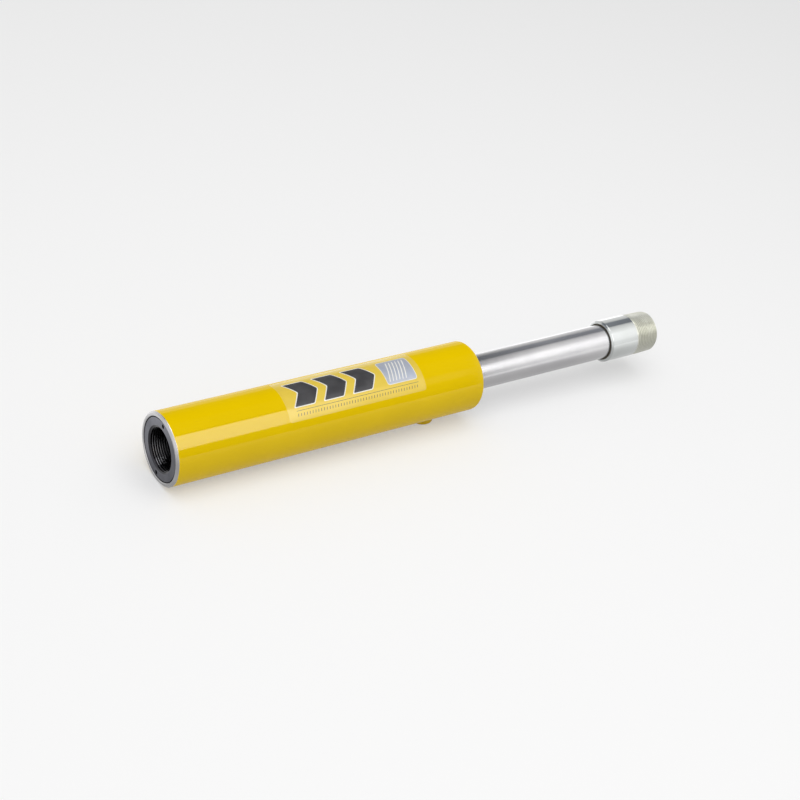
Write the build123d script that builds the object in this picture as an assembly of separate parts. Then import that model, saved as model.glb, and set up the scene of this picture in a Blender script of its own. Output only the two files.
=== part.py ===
from build123d import *
import math
import os

os.makedirs("parts", exist_ok=True)

# Hydraulic pull cylinder, single acting with a spring return, drawn with its rod out.
# Millimetres. X runs along the cylinder axis from the rear face to the rod end, Z is up,
# and the origin is where the axis meets the rear face. The oil port points straight down.
# Threads are plain cylinders: outside ones at the crest, inside ones at the drilled bore.

# Barrel
bore_diameter = 55.0
barrel_wall = 6.5
barrel_front_corner_radius = 4.0
barrel_rear_chamfer = 1.5
counterbore_lead = 0.5

# Base plug, screwed into the rear of the barrel
base_thread_step = 2.5
base_thread_length = 35.5
base_plug_recess = 0.5
base_spigot_length = 6.0
base_head_length = 3.0
base_head_gap = 0.8
base_head_chamfer = 0.4

# Pull threads, 1-1/4 inch taper pipe, inside at the rear and outside on the rod end
pipe_thread_outside_diameter = 42.0
pipe_thread_drilled_diameter = 38.1
pipe_thread_mouth_diameter = 43.8
pipe_thread_mouth_depth = 1.6
pipe_thread_blind_depth = 29.5
pipe_thread_outside_length = 28.0
pipe_thread_end_chamfer = 1.2

# Pin spanner holes, in the base plug and in the gland nut
spanner_hole_diameter = 4.0
spanner_hole_depth = 6.0
base_spanner_circle_diameter = 52.5
base_spanner_turn = 95.7
gland_spanner_turn = 20.0

# Breather of the spring chamber
breather_diameter = 14.0
breather_thickness = 3.0
vent_hole_diameter = 5.0

# Return spring, flat wire with closed and ground ends, and its seat
spring_wire_width = 4.0
spring_wire_height = 4.0
spring_turns = 9.5
spring_end_pitch = 4.8
spring_solid_margin = 4.2
spring_sleeve_clearance = 1.0
stop_sleeve_wall = 5.0
stop_sleeve_flange = 3.0
thrust_washer_thickness = 3.0

# Stroke and stops
stroke = 150.0
extended_stop_gap = 0.2
retracted_stop_gap = 0.2

# Piston and its nut
piston_length = 28.0
piston_bore_gap = 0.3
piston_edge_chamfer = 0.8
spigot_diameter = 26.0
piston_nut_diameter = 38.0
piston_nut_thread_diameter = 24.0
piston_nut_thickness = 12.0
nut_slot_width = 5.0
nut_slot_depth = 3.0
nut_slot_count = 4
spigot_end_recess = 1.0

# Rod and the coupling on its end
rod_diameter = 35.0
rod_exposed_when_in = 23.0
rod_end_thread_diameter = 33.0
rod_end_recess = 3.0
rod_end_chamfer = 1.5
rod_centre_hole_diameter = 7.0
rod_centre_hole_depth = 6.0
coupling_plain_length = 35.0
coupling_shoulder_step = 0.3
coupling_rear_chamfer = 1.5
coupling_recess_depth = 2.5
coupling_recess_gap = 1.2

# Gland nut, screwed into the front of the barrel
gland_thread_step = 1.5
gland_thread_length = 30.0
gland_recess = 1.0
gland_spigot_length = 9.0
gland_nose_length = 13.0
gland_nose_gap = 3.0
gland_rod_gap = 0.3
gland_edge_chamfer = 0.8

# Oil port, a 3/8 inch taper pipe boss welded under the barrel
port_setback = 7.8
port_boss_diameter = 24.0
port_boss_height = 5.4
port_boss_chamfer = 0.8
port_weld_leg = 2.0
port_thread_drilled_diameter = 14.5
port_thread_mouth_diameter = 17.5
port_thread_depth = 11.0
port_oil_way_diameter = 7.0

# Seals and guide rings
lip_seal_section = 5.0
lip_seal_width = 7.0
lip_groove_width = 2.2
lip_groove_depth = 3.2
backup_ring_width = 2.0
guide_ring_thickness = 2.2
guide_ring_width = 8.0
guide_groove_lead = 2.5
o_ring_section = 3.0
static_groove_depth = 2.6
static_backup_width = 1.6
wiper_section = 4.5
wiper_width = 6.0
wiper_lip_height = 1.5
groove_side_clearance = 0.1

# Clearances
thread_clearance = 0.05
fit_clearance = 0.05
running_clearance = 0.05

# Places along the axis, from the rear face forward
x_base_face = base_plug_recess
x_base_shoulder = x_base_face + base_thread_length
x_base_inner = x_base_shoulder + base_spigot_length
x_thread_bottom = x_base_face + pipe_thread_blind_depth
x_spring_rear = x_base_inner + stop_sleeve_flange
spring_solid_length = spring_end_pitch * spring_turns
x_spring_front = x_spring_rear + spring_solid_length + spring_solid_margin + stroke
x_piston_rear = x_spring_front + thrust_washer_thickness
x_piston_front = x_piston_rear + piston_length
x_nut_rear = x_piston_rear - piston_nut_thickness
x_sleeve_front = x_nut_rear - stroke - retracted_stop_gap
x_gland_nose = x_piston_front + extended_stop_gap
x_port = x_gland_nose + port_setback
x_gland_spigot = x_gland_nose + gland_nose_length
x_gland_shoulder = x_gland_spigot + gland_spigot_length
x_gland_face = x_gland_shoulder + gland_thread_length
x_barrel_front = x_gland_face + gland_recess
x_coupling_rear = x_barrel_front + rod_exposed_when_in + stroke
x_coupling_shoulder = x_coupling_rear + coupling_plain_length
x_coupling_front = x_coupling_shoulder + pipe_thread_outside_length
x_rod_front = x_coupling_front - rod_end_recess

# Radii
bore_radius = bore_diameter / 2
barrel_radius = bore_radius + barrel_wall
base_thread_radius = bore_radius + base_thread_step
gland_thread_radius = bore_radius + gland_thread_step
rod_radius = rod_diameter / 2
spigot_radius = spigot_diameter / 2
nut_radius = piston_nut_diameter / 2
sleeve_radius = nut_radius + spring_sleeve_clearance
spring_mean_radius = sleeve_radius + spring_sleeve_clearance + spring_wire_width / 2
coupling_radius = pipe_thread_outside_diameter / 2 + coupling_shoulder_step
gland_bore_radius = rod_radius + gland_rod_gap
wiper_housing_radius = rod_radius + wiper_section
piston_radius = bore_radius - piston_bore_gap
boss_face_z = -(barrel_radius + port_boss_height)


def turned(outline):
    """Solid of revolution about the X axis, from its half outline of (x, radius) corners."""
    return revolve(make_face(Polyline(*outline, close=True)), Axis.X, 360)


def ring(x_from, x_to, inner, outer):
    """Plain ring about the X axis."""
    return turned([(x_from, inner), (x_to, inner), (x_to, outer), (x_from, outer)])


def disc(x_from, x_to, radius):
    """Plain round block about the X axis."""
    return turned([(x_from, 0), (x_to, 0), (x_to, radius), (x_from, radius)])


def upright(radius, z_from, z_to):
    """Vertical round block on the centre line of the oil port."""
    block = Cylinder(radius, z_to - z_from, align=(Align.CENTER, Align.CENTER, Align.MIN))
    return Pos(x_port, 0, z_from) * block


def six_sided_ring(x_centre, ring_radius, section_radius):
    """Seal ring about the X axis, its round section drawn with six sides."""
    outline = []
    for corner in range(6):
        angle = math.radians(60 * corner)
        x_corner = x_centre + section_radius * math.cos(angle)
        outline.append((x_corner, ring_radius + section_radius * math.sin(angle)))
    return turned(outline)


def circle_edge(part, x_place, radius):
    """The round edge of a part that lies nearest to a place on the axis, at one radius."""
    rims = part.edges().filter_by(GeomType.CIRCLE)
    rims = rims.filter_by(lambda rim: abs(rim.radius - radius) < 0.001)
    return rims.sort_by(lambda rim: abs(rim.arc_center.X - x_place))[0]


def spanner_holes(x_face, direction, circle_radius, turn):
    """Two blind pin spanner holes, half a turn apart, cut from a round face."""
    depth = direction * spanner_hole_depth
    pair = Part()
    for angle in (turn, turn + 180):
        y_place = circle_radius * math.cos(math.radians(angle))
        z_place = circle_radius * math.sin(math.radians(angle))
        hole = disc(min(x_face, x_face + depth), max(x_face, x_face + depth), spanner_hole_diameter / 2)
        pair += Pos(0, y_place, z_place) * hole
    return pair


def lip_seal(x_back, facing, inner, outer):
    """U-shaped lip seal: its flat back at x_back, its open side facing along +X or -X."""
    middle = (inner + outer) / 2
    x_open = x_back + facing * lip_seal_width
    x_floor = x_open - facing * lip_groove_depth
    half = lip_groove_width / 2
    return turned([
        (x_back, inner),
        (x_open, inner),
        (x_open, middle - half),
        (x_floor, middle - half),
        (x_floor, middle + half),
        (x_open, middle + half),
        (x_open, outer),
        (x_back, outer),
    ])


def seal_energiser(x_back, facing, inner, outer):
    """Square ring in the open side of a lip seal, which presses its lips apart."""
    middle = (inner + outer) / 2
    half = lip_groove_width / 2 - fit_clearance
    x_floor = x_back + facing * (lip_seal_width - lip_groove_depth)
    x_top = x_floor + facing * 2 * half
    return ring(x_floor, x_top, middle - half, middle + half)


# Grooves. Each is a pair of places along the axis, rear wall first.
lip_groove_length = lip_seal_width + backup_ring_width + 2 * groove_side_clearance
guide_groove_length = guide_ring_width + 2 * groove_side_clearance
static_groove_length = o_ring_section + static_backup_width + 3 * groove_side_clearance

inner_guide_start = x_gland_nose + guide_groove_lead
inner_guide_groove = (inner_guide_start, inner_guide_start + guide_groove_length)
static_groove_start = x_gland_spigot + (gland_spigot_length - static_groove_length) / 2
static_groove = (static_groove_start, static_groove_start + static_groove_length)
rod_seal_groove = (x_gland_shoulder, x_gland_shoulder + lip_groove_length)
x_wiper_housing = x_gland_face - wiper_width
outer_guide_start = (rod_seal_groove[1] + x_wiper_housing - guide_groove_length) / 2
outer_guide_groove = (outer_guide_start, outer_guide_start + guide_groove_length)

piston_land = (piston_length - lip_groove_length - guide_groove_length) / 3
piston_guide_groove = (x_piston_rear + piston_land, x_piston_rear + piston_land + guide_groove_length)
piston_seal_start = piston_guide_groove[1] + piston_land
piston_seal_groove = (piston_seal_start, piston_seal_start + lip_groove_length)
bore_groove_start = x_piston_rear + (piston_length - o_ring_section) / 2 - groove_side_clearance
bore_groove = (bore_groove_start, bore_groove_start + o_ring_section + 2 * groove_side_clearance)


def barrel_tube():
    """Thick tube, threaded inside at both ends, with a rounded front corner and the oil way."""
    tube = ring(0, x_barrel_front, bore_radius, barrel_radius)
    tube = fillet(circle_edge(tube, x_barrel_front, barrel_radius), barrel_front_corner_radius)
    tube = chamfer(circle_edge(tube, 0, barrel_radius), barrel_rear_chamfer)
    tube -= disc(0, x_base_shoulder, base_thread_radius)
    tube -= disc(x_gland_shoulder, x_barrel_front, gland_thread_radius)
    tube = chamfer(circle_edge(tube, 0, base_thread_radius), counterbore_lead)
    tube = chamfer(circle_edge(tube, x_barrel_front, gland_thread_radius), counterbore_lead)
    tube -= upright(port_thread_drilled_diameter / 2, boss_face_z, boss_face_z + port_thread_depth)
    tube -= upright(port_oil_way_diameter / 2, boss_face_z, -bore_radius / 2)
    return tube


def oil_port_boss():
    """Round boss, saddled on the barrel, with a chamfered rim and the port thread through it."""
    boss = upright(port_boss_diameter / 2, boss_face_z, 0)
    boss -= disc(0, x_barrel_front, barrel_radius)
    rim = boss.edges().filter_by(GeomType.CIRCLE).sort_by(Axis.Z)[0]
    boss = chamfer(rim, port_boss_chamfer)
    boss -= upright(port_thread_drilled_diameter / 2, boss_face_z, 0)
    return boss - port_mouth()


def port_mouth():
    """Cone that opens the mouth of the port thread."""
    mouth_radius = port_thread_mouth_diameter / 2
    drilled_radius = port_thread_drilled_diameter / 2
    depth = mouth_radius - drilled_radius
    cone = Cone(mouth_radius, drilled_radius, depth, align=(Align.CENTER, Align.CENTER, Align.MIN))
    return Pos(x_port, 0, boss_face_z) * cone


def port_weld_bead():
    """Weld bead round the foot of the boss, following the saddle where boss meets barrel."""
    boss_radius = port_boss_diameter / 2
    barrel_length_there = disc(x_port - 2 * boss_radius, x_port + 2 * boss_radius, barrel_radius)
    joined = barrel_length_there + upright(boss_radius, boss_face_z, 0)
    across = joined.edges().filter_by(lambda edge: abs(edge.bounding_box().size.X - 2 * boss_radius) < 0.01)
    foot = across.filter_by(GeomType.CIRCLE, reverse=True)
    return chamfer(foot, port_weld_leg) - joined


def base_plug():
    """Threaded plug with the rear pull thread, a locating spigot, spanner holes and the vent."""
    thread_radius = base_thread_radius - thread_clearance
    head_radius = base_thread_radius - base_head_gap
    x_head = x_base_face + base_head_length
    plug = turned([
        (x_base_face, 0),
        (x_base_face, head_radius - base_head_chamfer),
        (x_base_face + base_head_chamfer, head_radius),
        (x_head, head_radius),
        (x_head, thread_radius),
        (x_base_shoulder, thread_radius),
        (x_base_shoulder, bore_radius - fit_clearance),
        (x_base_inner, bore_radius - fit_clearance),
        (x_base_inner, 0),
    ])
    mouth_radius = pipe_thread_mouth_diameter / 2
    drilled_radius = pipe_thread_drilled_diameter / 2
    x_wall = x_base_face + pipe_thread_mouth_depth
    plug -= turned([
        (x_base_face, 0),
        (x_base_face, mouth_radius),
        (x_wall, drilled_radius),
        (x_thread_bottom, drilled_radius),
        (x_thread_bottom, 0),
    ])
    plug -= disc(x_thread_bottom, x_thread_bottom + breather_thickness, breather_diameter / 2)
    plug -= disc(x_thread_bottom, x_base_inner, vent_hole_diameter / 2)
    return plug - spanner_holes(x_base_face, 1, base_spanner_circle_diameter / 2, base_spanner_turn)


def breather_filter():
    """Porous disc pressed into the bottom of the rear thread, so that the spring chamber breathes."""
    x_far = x_thread_bottom + breather_thickness
    return disc(x_thread_bottom, x_far, breather_diameter / 2 - fit_clearance)


def stop_sleeve():
    """Flanged sleeve that seats and guides the spring and stops the piston nut."""
    return turned([
        (x_base_inner, sleeve_radius - stop_sleeve_wall),
        (x_sleeve_front, sleeve_radius - stop_sleeve_wall),
        (x_sleeve_front, sleeve_radius),
        (x_spring_rear, sleeve_radius),
        (x_spring_rear, bore_radius - piston_bore_gap),
        (x_base_inner, bore_radius - piston_bore_gap),
    ])


def spring_stage(x_from, length, turns, start_turn):
    """One stage of the spring's centre line: a helix about the X axis, from a stated turn on."""
    helix = Helix(pitch=length / turns, height=length, radius=spring_mean_radius, direction=(1, 0, 0))
    return Pos(x_from, 0, 0) * Rot(360 * start_turn, 0, 0) * helix


def return_spring():
    """Flat-wire compression spring: one closed turn at each end, ground flat, open turns between."""
    length = x_spring_front - x_spring_rear
    open_turns = spring_turns - 2
    open_length = length - 2 * spring_end_pitch
    x_open = x_spring_rear + spring_end_pitch
    stages = [
        spring_stage(x_spring_rear, spring_end_pitch, 1, 0),
        spring_stage(x_open, open_length, open_turns, 1),
        spring_stage(x_open + open_length, spring_end_pitch, 1, 1 + open_turns),
    ]
    centre_line = Wire([stage.edges()[0] for stage in stages])
    start = centre_line @ 0
    wire_plane = Plane(origin=start, x_dir=Vector(0, start.Y, start.Z), z_dir=centre_line % 0)
    wire_section = wire_plane * Rectangle(spring_wire_width, spring_wire_height)
    coil = sweep(wire_section, path=centre_line, is_frenet=True, transition=Transition.TRANSFORMED)
    return coil & disc(x_spring_rear, x_spring_front, bore_radius)


def spring_thrust_washer():
    """Hardened washer between spring and piston, on which the rod can turn."""
    inner = nut_radius + spring_sleeve_clearance
    return ring(x_spring_front, x_piston_rear, inner, bore_radius - 2 * piston_bore_gap)


def piston():
    """Piston with a guide ring groove, a lip seal groove and a static seal groove in its bore."""
    body = ring(x_piston_rear, x_piston_front, spigot_radius + fit_clearance, piston_radius)
    for x_end in (x_piston_rear, x_piston_front):
        body = chamfer(circle_edge(body, x_end, piston_radius), piston_edge_chamfer)
    body -= ring(*piston_guide_groove, bore_radius - guide_ring_thickness, bore_radius)
    body -= ring(*piston_seal_groove, bore_radius - lip_seal_section, bore_radius)
    return body - ring(*bore_groove, 0, spigot_radius + static_groove_depth)


def piston_nut():
    """Round slotted nut that holds the piston on the rod."""
    nut = ring(x_nut_rear, x_piston_rear, piston_nut_thread_diameter / 2 + thread_clearance, nut_radius)
    for index in range(nut_slot_count):
        slot_size = (piston_nut_thickness, nut_slot_width, nut_slot_depth)
        slot = Box(*slot_size, align=(Align.MIN, Align.CENTER, Align.MAX))
        nut -= Rot(360 * index / nut_slot_count, 0, 0) * Pos(x_nut_rear, 0, nut_radius) * slot
    return nut


def piston_guide_ring():
    """Guide ring that carries the piston in the bore."""
    x_from = piston_guide_groove[0] + groove_side_clearance
    inner = bore_radius - guide_ring_thickness + fit_clearance
    return ring(x_from, x_from + guide_ring_width, inner, bore_radius - running_clearance)


def piston_seal_sizes():
    """Flat back, facing direction, inner and outer radius of the piston seal."""
    x_back = piston_seal_groove[0] + groove_side_clearance + backup_ring_width
    inner = bore_radius - lip_seal_section + fit_clearance
    return x_back, 1, inner, bore_radius - running_clearance


def piston_backup_ring():
    """Hard ring behind the piston seal."""
    x_back, _, inner, outer = piston_seal_sizes()
    return ring(x_back - backup_ring_width, x_back, inner, outer)


def piston_static_o_ring():
    """Round ring that seals the piston's bore on the rod's spigot."""
    section_radius = static_groove_depth / 2 - fit_clearance
    x_centre = (bore_groove[0] + bore_groove[1]) / 2
    return six_sided_ring(x_centre, spigot_radius + static_groove_depth / 2, section_radius)


def piston_rod():
    """Chromed rod: a stepped spigot for piston and nut, a threaded front end with a centre hole."""
    nut_thread_radius = piston_nut_thread_diameter / 2
    end_thread_radius = rod_end_thread_diameter / 2
    x_end_thread = x_coupling_rear + coupling_recess_depth
    x_spigot_end = x_nut_rear + spigot_end_recess
    rod = turned([
        (x_spigot_end, 0),
        (x_spigot_end, nut_thread_radius),
        (x_piston_rear, nut_thread_radius),
        (x_piston_rear, spigot_radius),
        (x_piston_front, spigot_radius),
        (x_piston_front, rod_radius),
        (x_end_thread, rod_radius),
        (x_end_thread, end_thread_radius),
        (x_rod_front, end_thread_radius),
        (x_rod_front, 0),
    ])
    rod = chamfer(circle_edge(rod, x_rod_front, end_thread_radius), rod_end_chamfer)
    return rod - turned([
        (x_rod_front, 0),
        (x_rod_front, rod_centre_hole_diameter / 2),
        (x_rod_front - rod_centre_hole_depth, 0),
    ])


def rod_coupling():
    """Sleeve on the rod end: plain at the rear, with the outside pull thread at the front."""
    inner = rod_end_thread_diameter / 2 + thread_clearance
    recess = rod_radius + coupling_recess_gap
    thread_radius = pipe_thread_outside_diameter / 2
    x_recess = x_coupling_rear + coupling_recess_depth
    sleeve = turned([
        (x_recess, inner),
        (x_recess, recess),
        (x_coupling_rear, recess),
        (x_coupling_rear, coupling_radius - coupling_rear_chamfer),
        (x_coupling_rear + coupling_rear_chamfer, coupling_radius),
        (x_coupling_shoulder, coupling_radius),
        (x_coupling_shoulder, thread_radius),
        (x_coupling_front - pipe_thread_end_chamfer, thread_radius),
        (x_coupling_front, thread_radius - pipe_thread_end_chamfer),
        (x_coupling_front, inner),
    ])
    return sleeve


def gland_nut():
    """Front head: holds the rod's guide rings, seal and wiper, and lets oil in behind its nose."""
    gland = turned([
        (x_gland_nose, gland_bore_radius),
        (x_gland_face, gland_bore_radius),
        (x_gland_face, gland_thread_radius - thread_clearance - gland_edge_chamfer),
        (x_gland_face - gland_edge_chamfer, gland_thread_radius - thread_clearance),
        (x_gland_shoulder, gland_thread_radius - thread_clearance),
        (x_gland_shoulder, bore_radius - fit_clearance),
        (x_gland_spigot, bore_radius - fit_clearance),
        (x_gland_spigot, bore_radius - gland_nose_gap),
        (x_gland_nose, bore_radius - gland_nose_gap),
    ])
    gland -= ring(*static_groove, bore_radius - static_groove_depth, bore_radius)
    for groove in (inner_guide_groove, outer_guide_groove):
        gland -= disc(*groove, rod_radius + guide_ring_thickness)
    gland -= disc(*rod_seal_groove, rod_radius + lip_seal_section)
    gland -= disc(x_wiper_housing, x_gland_face, wiper_housing_radius)
    circle_radius = (wiper_housing_radius + gland_thread_radius) / 2
    return gland - spanner_holes(x_gland_face, -1, circle_radius, gland_spanner_turn)


def rod_guide_ring(groove):
    """Guide ring that carries the rod, in one of the gland nut's two grooves."""
    x_from = groove[0] + groove_side_clearance
    outer = rod_radius + guide_ring_thickness - fit_clearance
    return ring(x_from, x_from + guide_ring_width, rod_radius + running_clearance, outer)


def rod_seal_sizes():
    """Flat back, facing direction, inner and outer radius of the rod seal."""
    x_back = rod_seal_groove[1] - groove_side_clearance - backup_ring_width
    outer = rod_radius + lip_seal_section - fit_clearance
    return x_back, -1, rod_radius + running_clearance, outer


def rod_backup_ring():
    """Hard ring behind the rod seal."""
    x_back, _, inner, outer = rod_seal_sizes()
    return ring(x_back, x_back + backup_ring_width, inner, outer)


def rod_wiper():
    """Wiper in the gland nut's mouth, with a tapered lip that stands a little way out."""
    inner = rod_radius + running_clearance
    outer = wiper_housing_radius - fit_clearance
    x_lip = x_gland_face + wiper_lip_height
    return turned([
        (x_wiper_housing, inner + gland_rod_gap),
        (x_gland_face, inner + gland_rod_gap),
        (x_lip - wiper_lip_height / 3, inner),
        (x_lip, inner),
        (x_lip, inner + wiper_lip_height / 2),
        (x_gland_face, outer - wiper_section / 3),
        (x_gland_face, outer),
        (x_wiper_housing, outer),
    ])


def gland_static_rings():
    """Round ring and hard back-up ring that seal the gland nut in the barrel's bore."""
    section_radius = static_groove_depth / 2 - fit_clearance
    x_round = static_groove[0] + groove_side_clearance + o_ring_section / 2
    round_ring = six_sided_ring(x_round, bore_radius - static_groove_depth / 2, section_radius)
    x_hard = static_groove[1] - groove_side_clearance - static_backup_width
    inner = bore_radius - static_groove_depth + fit_clearance
    hard_ring = ring(x_hard, x_hard + static_backup_width, inner, bore_radius - fit_clearance)
    return round_ring, hard_ring


gland_o_ring, gland_backup_ring = gland_static_rings()
pieces = {
    "barrel_tube": barrel_tube(),
    "oil_port_boss": oil_port_boss(),
    "port_weld_bead": port_weld_bead(),
    "base_plug": base_plug(),
    "breather_filter": breather_filter(),
    "stop_sleeve": stop_sleeve(),
    "return_spring": return_spring(),
    "spring_thrust_washer": spring_thrust_washer(),
    "gland_nut": gland_nut(),
    "gland_o_ring": gland_o_ring,
    "gland_backup_ring": gland_backup_ring,
    "inner_rod_guide_ring": rod_guide_ring(inner_guide_groove),
    "outer_rod_guide_ring": rod_guide_ring(outer_guide_groove),
    "rod_seal": lip_seal(*rod_seal_sizes()),
    "rod_seal_energiser": seal_energiser(*rod_seal_sizes()),
    "rod_backup_ring": rod_backup_ring(),
    "rod_wiper": rod_wiper(),
    "piston_rod": piston_rod(),
    "piston": piston(),
    "piston_nut": piston_nut(),
    "piston_guide_ring": piston_guide_ring(),
    "piston_seal": lip_seal(*piston_seal_sizes()),
    "piston_seal_energiser": seal_energiser(*piston_seal_sizes()),
    "piston_backup_ring": piston_backup_ring(),
    "piston_static_o_ring": piston_static_o_ring(),
    "rod_coupling": rod_coupling(),
}
for name, piece in pieces.items():
    export_step(piece, f"parts/{name}.step")
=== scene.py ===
import logging
import math
from dataclasses import dataclass, field
from enum import Enum

import bmesh
import bpy
from mathutils import Matrix, Vector


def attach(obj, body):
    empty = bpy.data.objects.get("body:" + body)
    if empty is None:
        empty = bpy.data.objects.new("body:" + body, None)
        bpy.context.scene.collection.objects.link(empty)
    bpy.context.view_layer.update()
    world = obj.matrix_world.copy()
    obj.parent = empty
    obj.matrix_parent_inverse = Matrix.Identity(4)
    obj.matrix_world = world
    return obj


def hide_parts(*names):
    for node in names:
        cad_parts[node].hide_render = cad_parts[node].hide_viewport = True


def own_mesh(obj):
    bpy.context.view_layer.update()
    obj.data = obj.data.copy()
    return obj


# The looks of a hydraulic pull cylinder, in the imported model's own frame.
# X runs along the cylinder from its rear face to the rod end, Z is up, Blender works in metres.
# Sizes in the classes are millimetres, as on a workshop drawing.

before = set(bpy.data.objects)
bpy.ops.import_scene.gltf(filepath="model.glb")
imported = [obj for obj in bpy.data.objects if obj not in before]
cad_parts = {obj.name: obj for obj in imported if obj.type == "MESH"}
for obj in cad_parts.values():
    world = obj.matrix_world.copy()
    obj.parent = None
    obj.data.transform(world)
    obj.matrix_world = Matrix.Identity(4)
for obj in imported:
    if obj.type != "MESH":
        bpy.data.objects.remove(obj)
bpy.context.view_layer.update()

MM = 0.001
LOG = logging.getLogger("pull_cylinder")

Colour = tuple[float, float, float]
Corner = tuple[float, float]
Triple = tuple[float, float, float]


# Node trees


class Value:
    """A number in a node tree, which arithmetic turns into Math nodes."""

    def __init__(self, bench: "Bench", socket: bpy.types.NodeSocket) -> None:
        """Keeps the tree's bench and the socket that carries the number."""
        self.bench, self.socket = bench, socket

    def _math(self, operation: str, *values: "float | Value") -> "Value":
        """Adds a Math node fed by the values, and returns its result."""
        return self.bench.math(operation, *values)

    def __add__(self, other: "float | Value") -> "Value":
        """Sum."""
        return self._math("ADD", self, other)

    def __radd__(self, other: float) -> "Value":
        """Sum with a plain number on the left."""
        return self._math("ADD", other, self)

    def __sub__(self, other: "float | Value") -> "Value":
        """Difference."""
        return self._math("SUBTRACT", self, other)

    def __rsub__(self, other: float) -> "Value":
        """Difference with a plain number on the left."""
        return self._math("SUBTRACT", other, self)

    def __mul__(self, other: "float | Value") -> "Value":
        """Product."""
        return self._math("MULTIPLY", self, other)

    def __rmul__(self, other: float) -> "Value":
        """Product with a plain number on the left."""
        return self._math("MULTIPLY", other, self)

    def __truediv__(self, other: "float | Value") -> "Value":
        """Quotient."""
        return self._math("DIVIDE", self, other)

    def at_least(self, other: "float | Value") -> "Value":
        """The larger of the two."""
        return self._math("MAXIMUM", self, other)

    def at_most(self, other: "float | Value") -> "Value":
        """The smaller of the two."""
        return self._math("MINIMUM", self, other)

    def step(self, operation: str) -> "Value":
        """A Math node with one input, such as COSINE, SINE, FLOOR, CEIL, FRACT, ABSOLUTE or SQRT."""
        return self._math(operation, self)


@dataclass
class Bench:
    """Adds nodes to one tree and links them.

    Attributes:
        tree: The node tree that is being built.
    """

    tree: bpy.types.NodeTree

    def node(self, kind: str, **settings: object) -> bpy.types.Node:
        """Adds a node.

        Args:
            kind: The node's type name.
            **settings: Its properties, such as operation or data_type.

        Returns:
            The new node.
        """
        made = self.tree.nodes.new(kind)
        for name, value in settings.items():
            setattr(made, name, value)
        return made

    def feed(self, socket: bpy.types.NodeSocket, value: object) -> None:
        """Links a socket to another socket or a Value, or sets it to a constant.

        Args:
            socket: The input that is fed.
            value: What feeds it.
        """
        if isinstance(value, Value):
            value = value.socket
        if isinstance(value, bpy.types.NodeSocket):
            self.tree.links.new(value, socket)
        else:
            socket.default_value = value

    def add(self, kind: str, inputs: dict[str, object], **settings: object) -> bpy.types.Node:
        """Adds a node and feeds its named inputs.

        Args:
            kind: The node's type name.
            inputs: What goes into each input.
            **settings: Its properties.

        Returns:
            The new node.
        """
        made = self.node(kind, **settings)
        for name, value in inputs.items():
            self.feed(made.inputs[name], value)
        return made

    def math(self, operation: str, *values: "float | Value") -> Value:
        """Adds a Math node.

        Args:
            operation: What it works out.
            *values: Its inputs in order.

        Returns:
            Its result.
        """
        made = self.node("ShaderNodeMath", operation=operation)
        for socket, value in zip(made.inputs, values):
            self.feed(socket, value)
        return Value(self, made.outputs[0])

    def spread(self, value: Value, low: float, high: float, to: Corner, smooth: bool = False) -> Value:
        """Maps a range of a value to another range, held at its ends.

        Args:
            value: What is mapped.
            low: Where the range starts.
            high: Where it ends.
            to: What the two ends become.
            smooth: True for a soft S-shaped passage.

        Returns:
            The mapped value.
        """
        kind = "SMOOTHSTEP" if smooth else "LINEAR"
        made = self.node("ShaderNodeMapRange", interpolation_type=kind)
        for socket, number in zip(made.inputs, (value, low, high, *to)):
            self.feed(socket, number)
        return Value(self, made.outputs[0])

    def blend(self, share: Value, first: object, second: object) -> bpy.types.NodeSocket:
        """Mixes two colours.

        Args:
            share: How much of the second shows.
            first: A colour or a colour socket.
            second: Another.

        Returns:
            The mixed colour.
        """
        made = self.node("ShaderNodeMix", data_type="RGBA")
        self.feed(made.inputs[0], share)
        for socket, colour in ((made.inputs[6], first), (made.inputs[7], second)):
            if isinstance(colour, tuple):
                colour = (*colour, 1.0)
            self.feed(socket, colour)
        return made.outputs[2]


# Finishes


class Marks(Enum):
    """What the fine relief of a surface comes from."""

    TURNED = "lines round the axis, from a cutting tool"
    GROUND = "very fine lines round the axis, from a grinding wheel"
    SPRAYED = "the low ripple of sprayed enamel"
    MOULDED = "the faint unevenness of a moulded skin"
    SINTERED = "grains pressed together"


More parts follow.
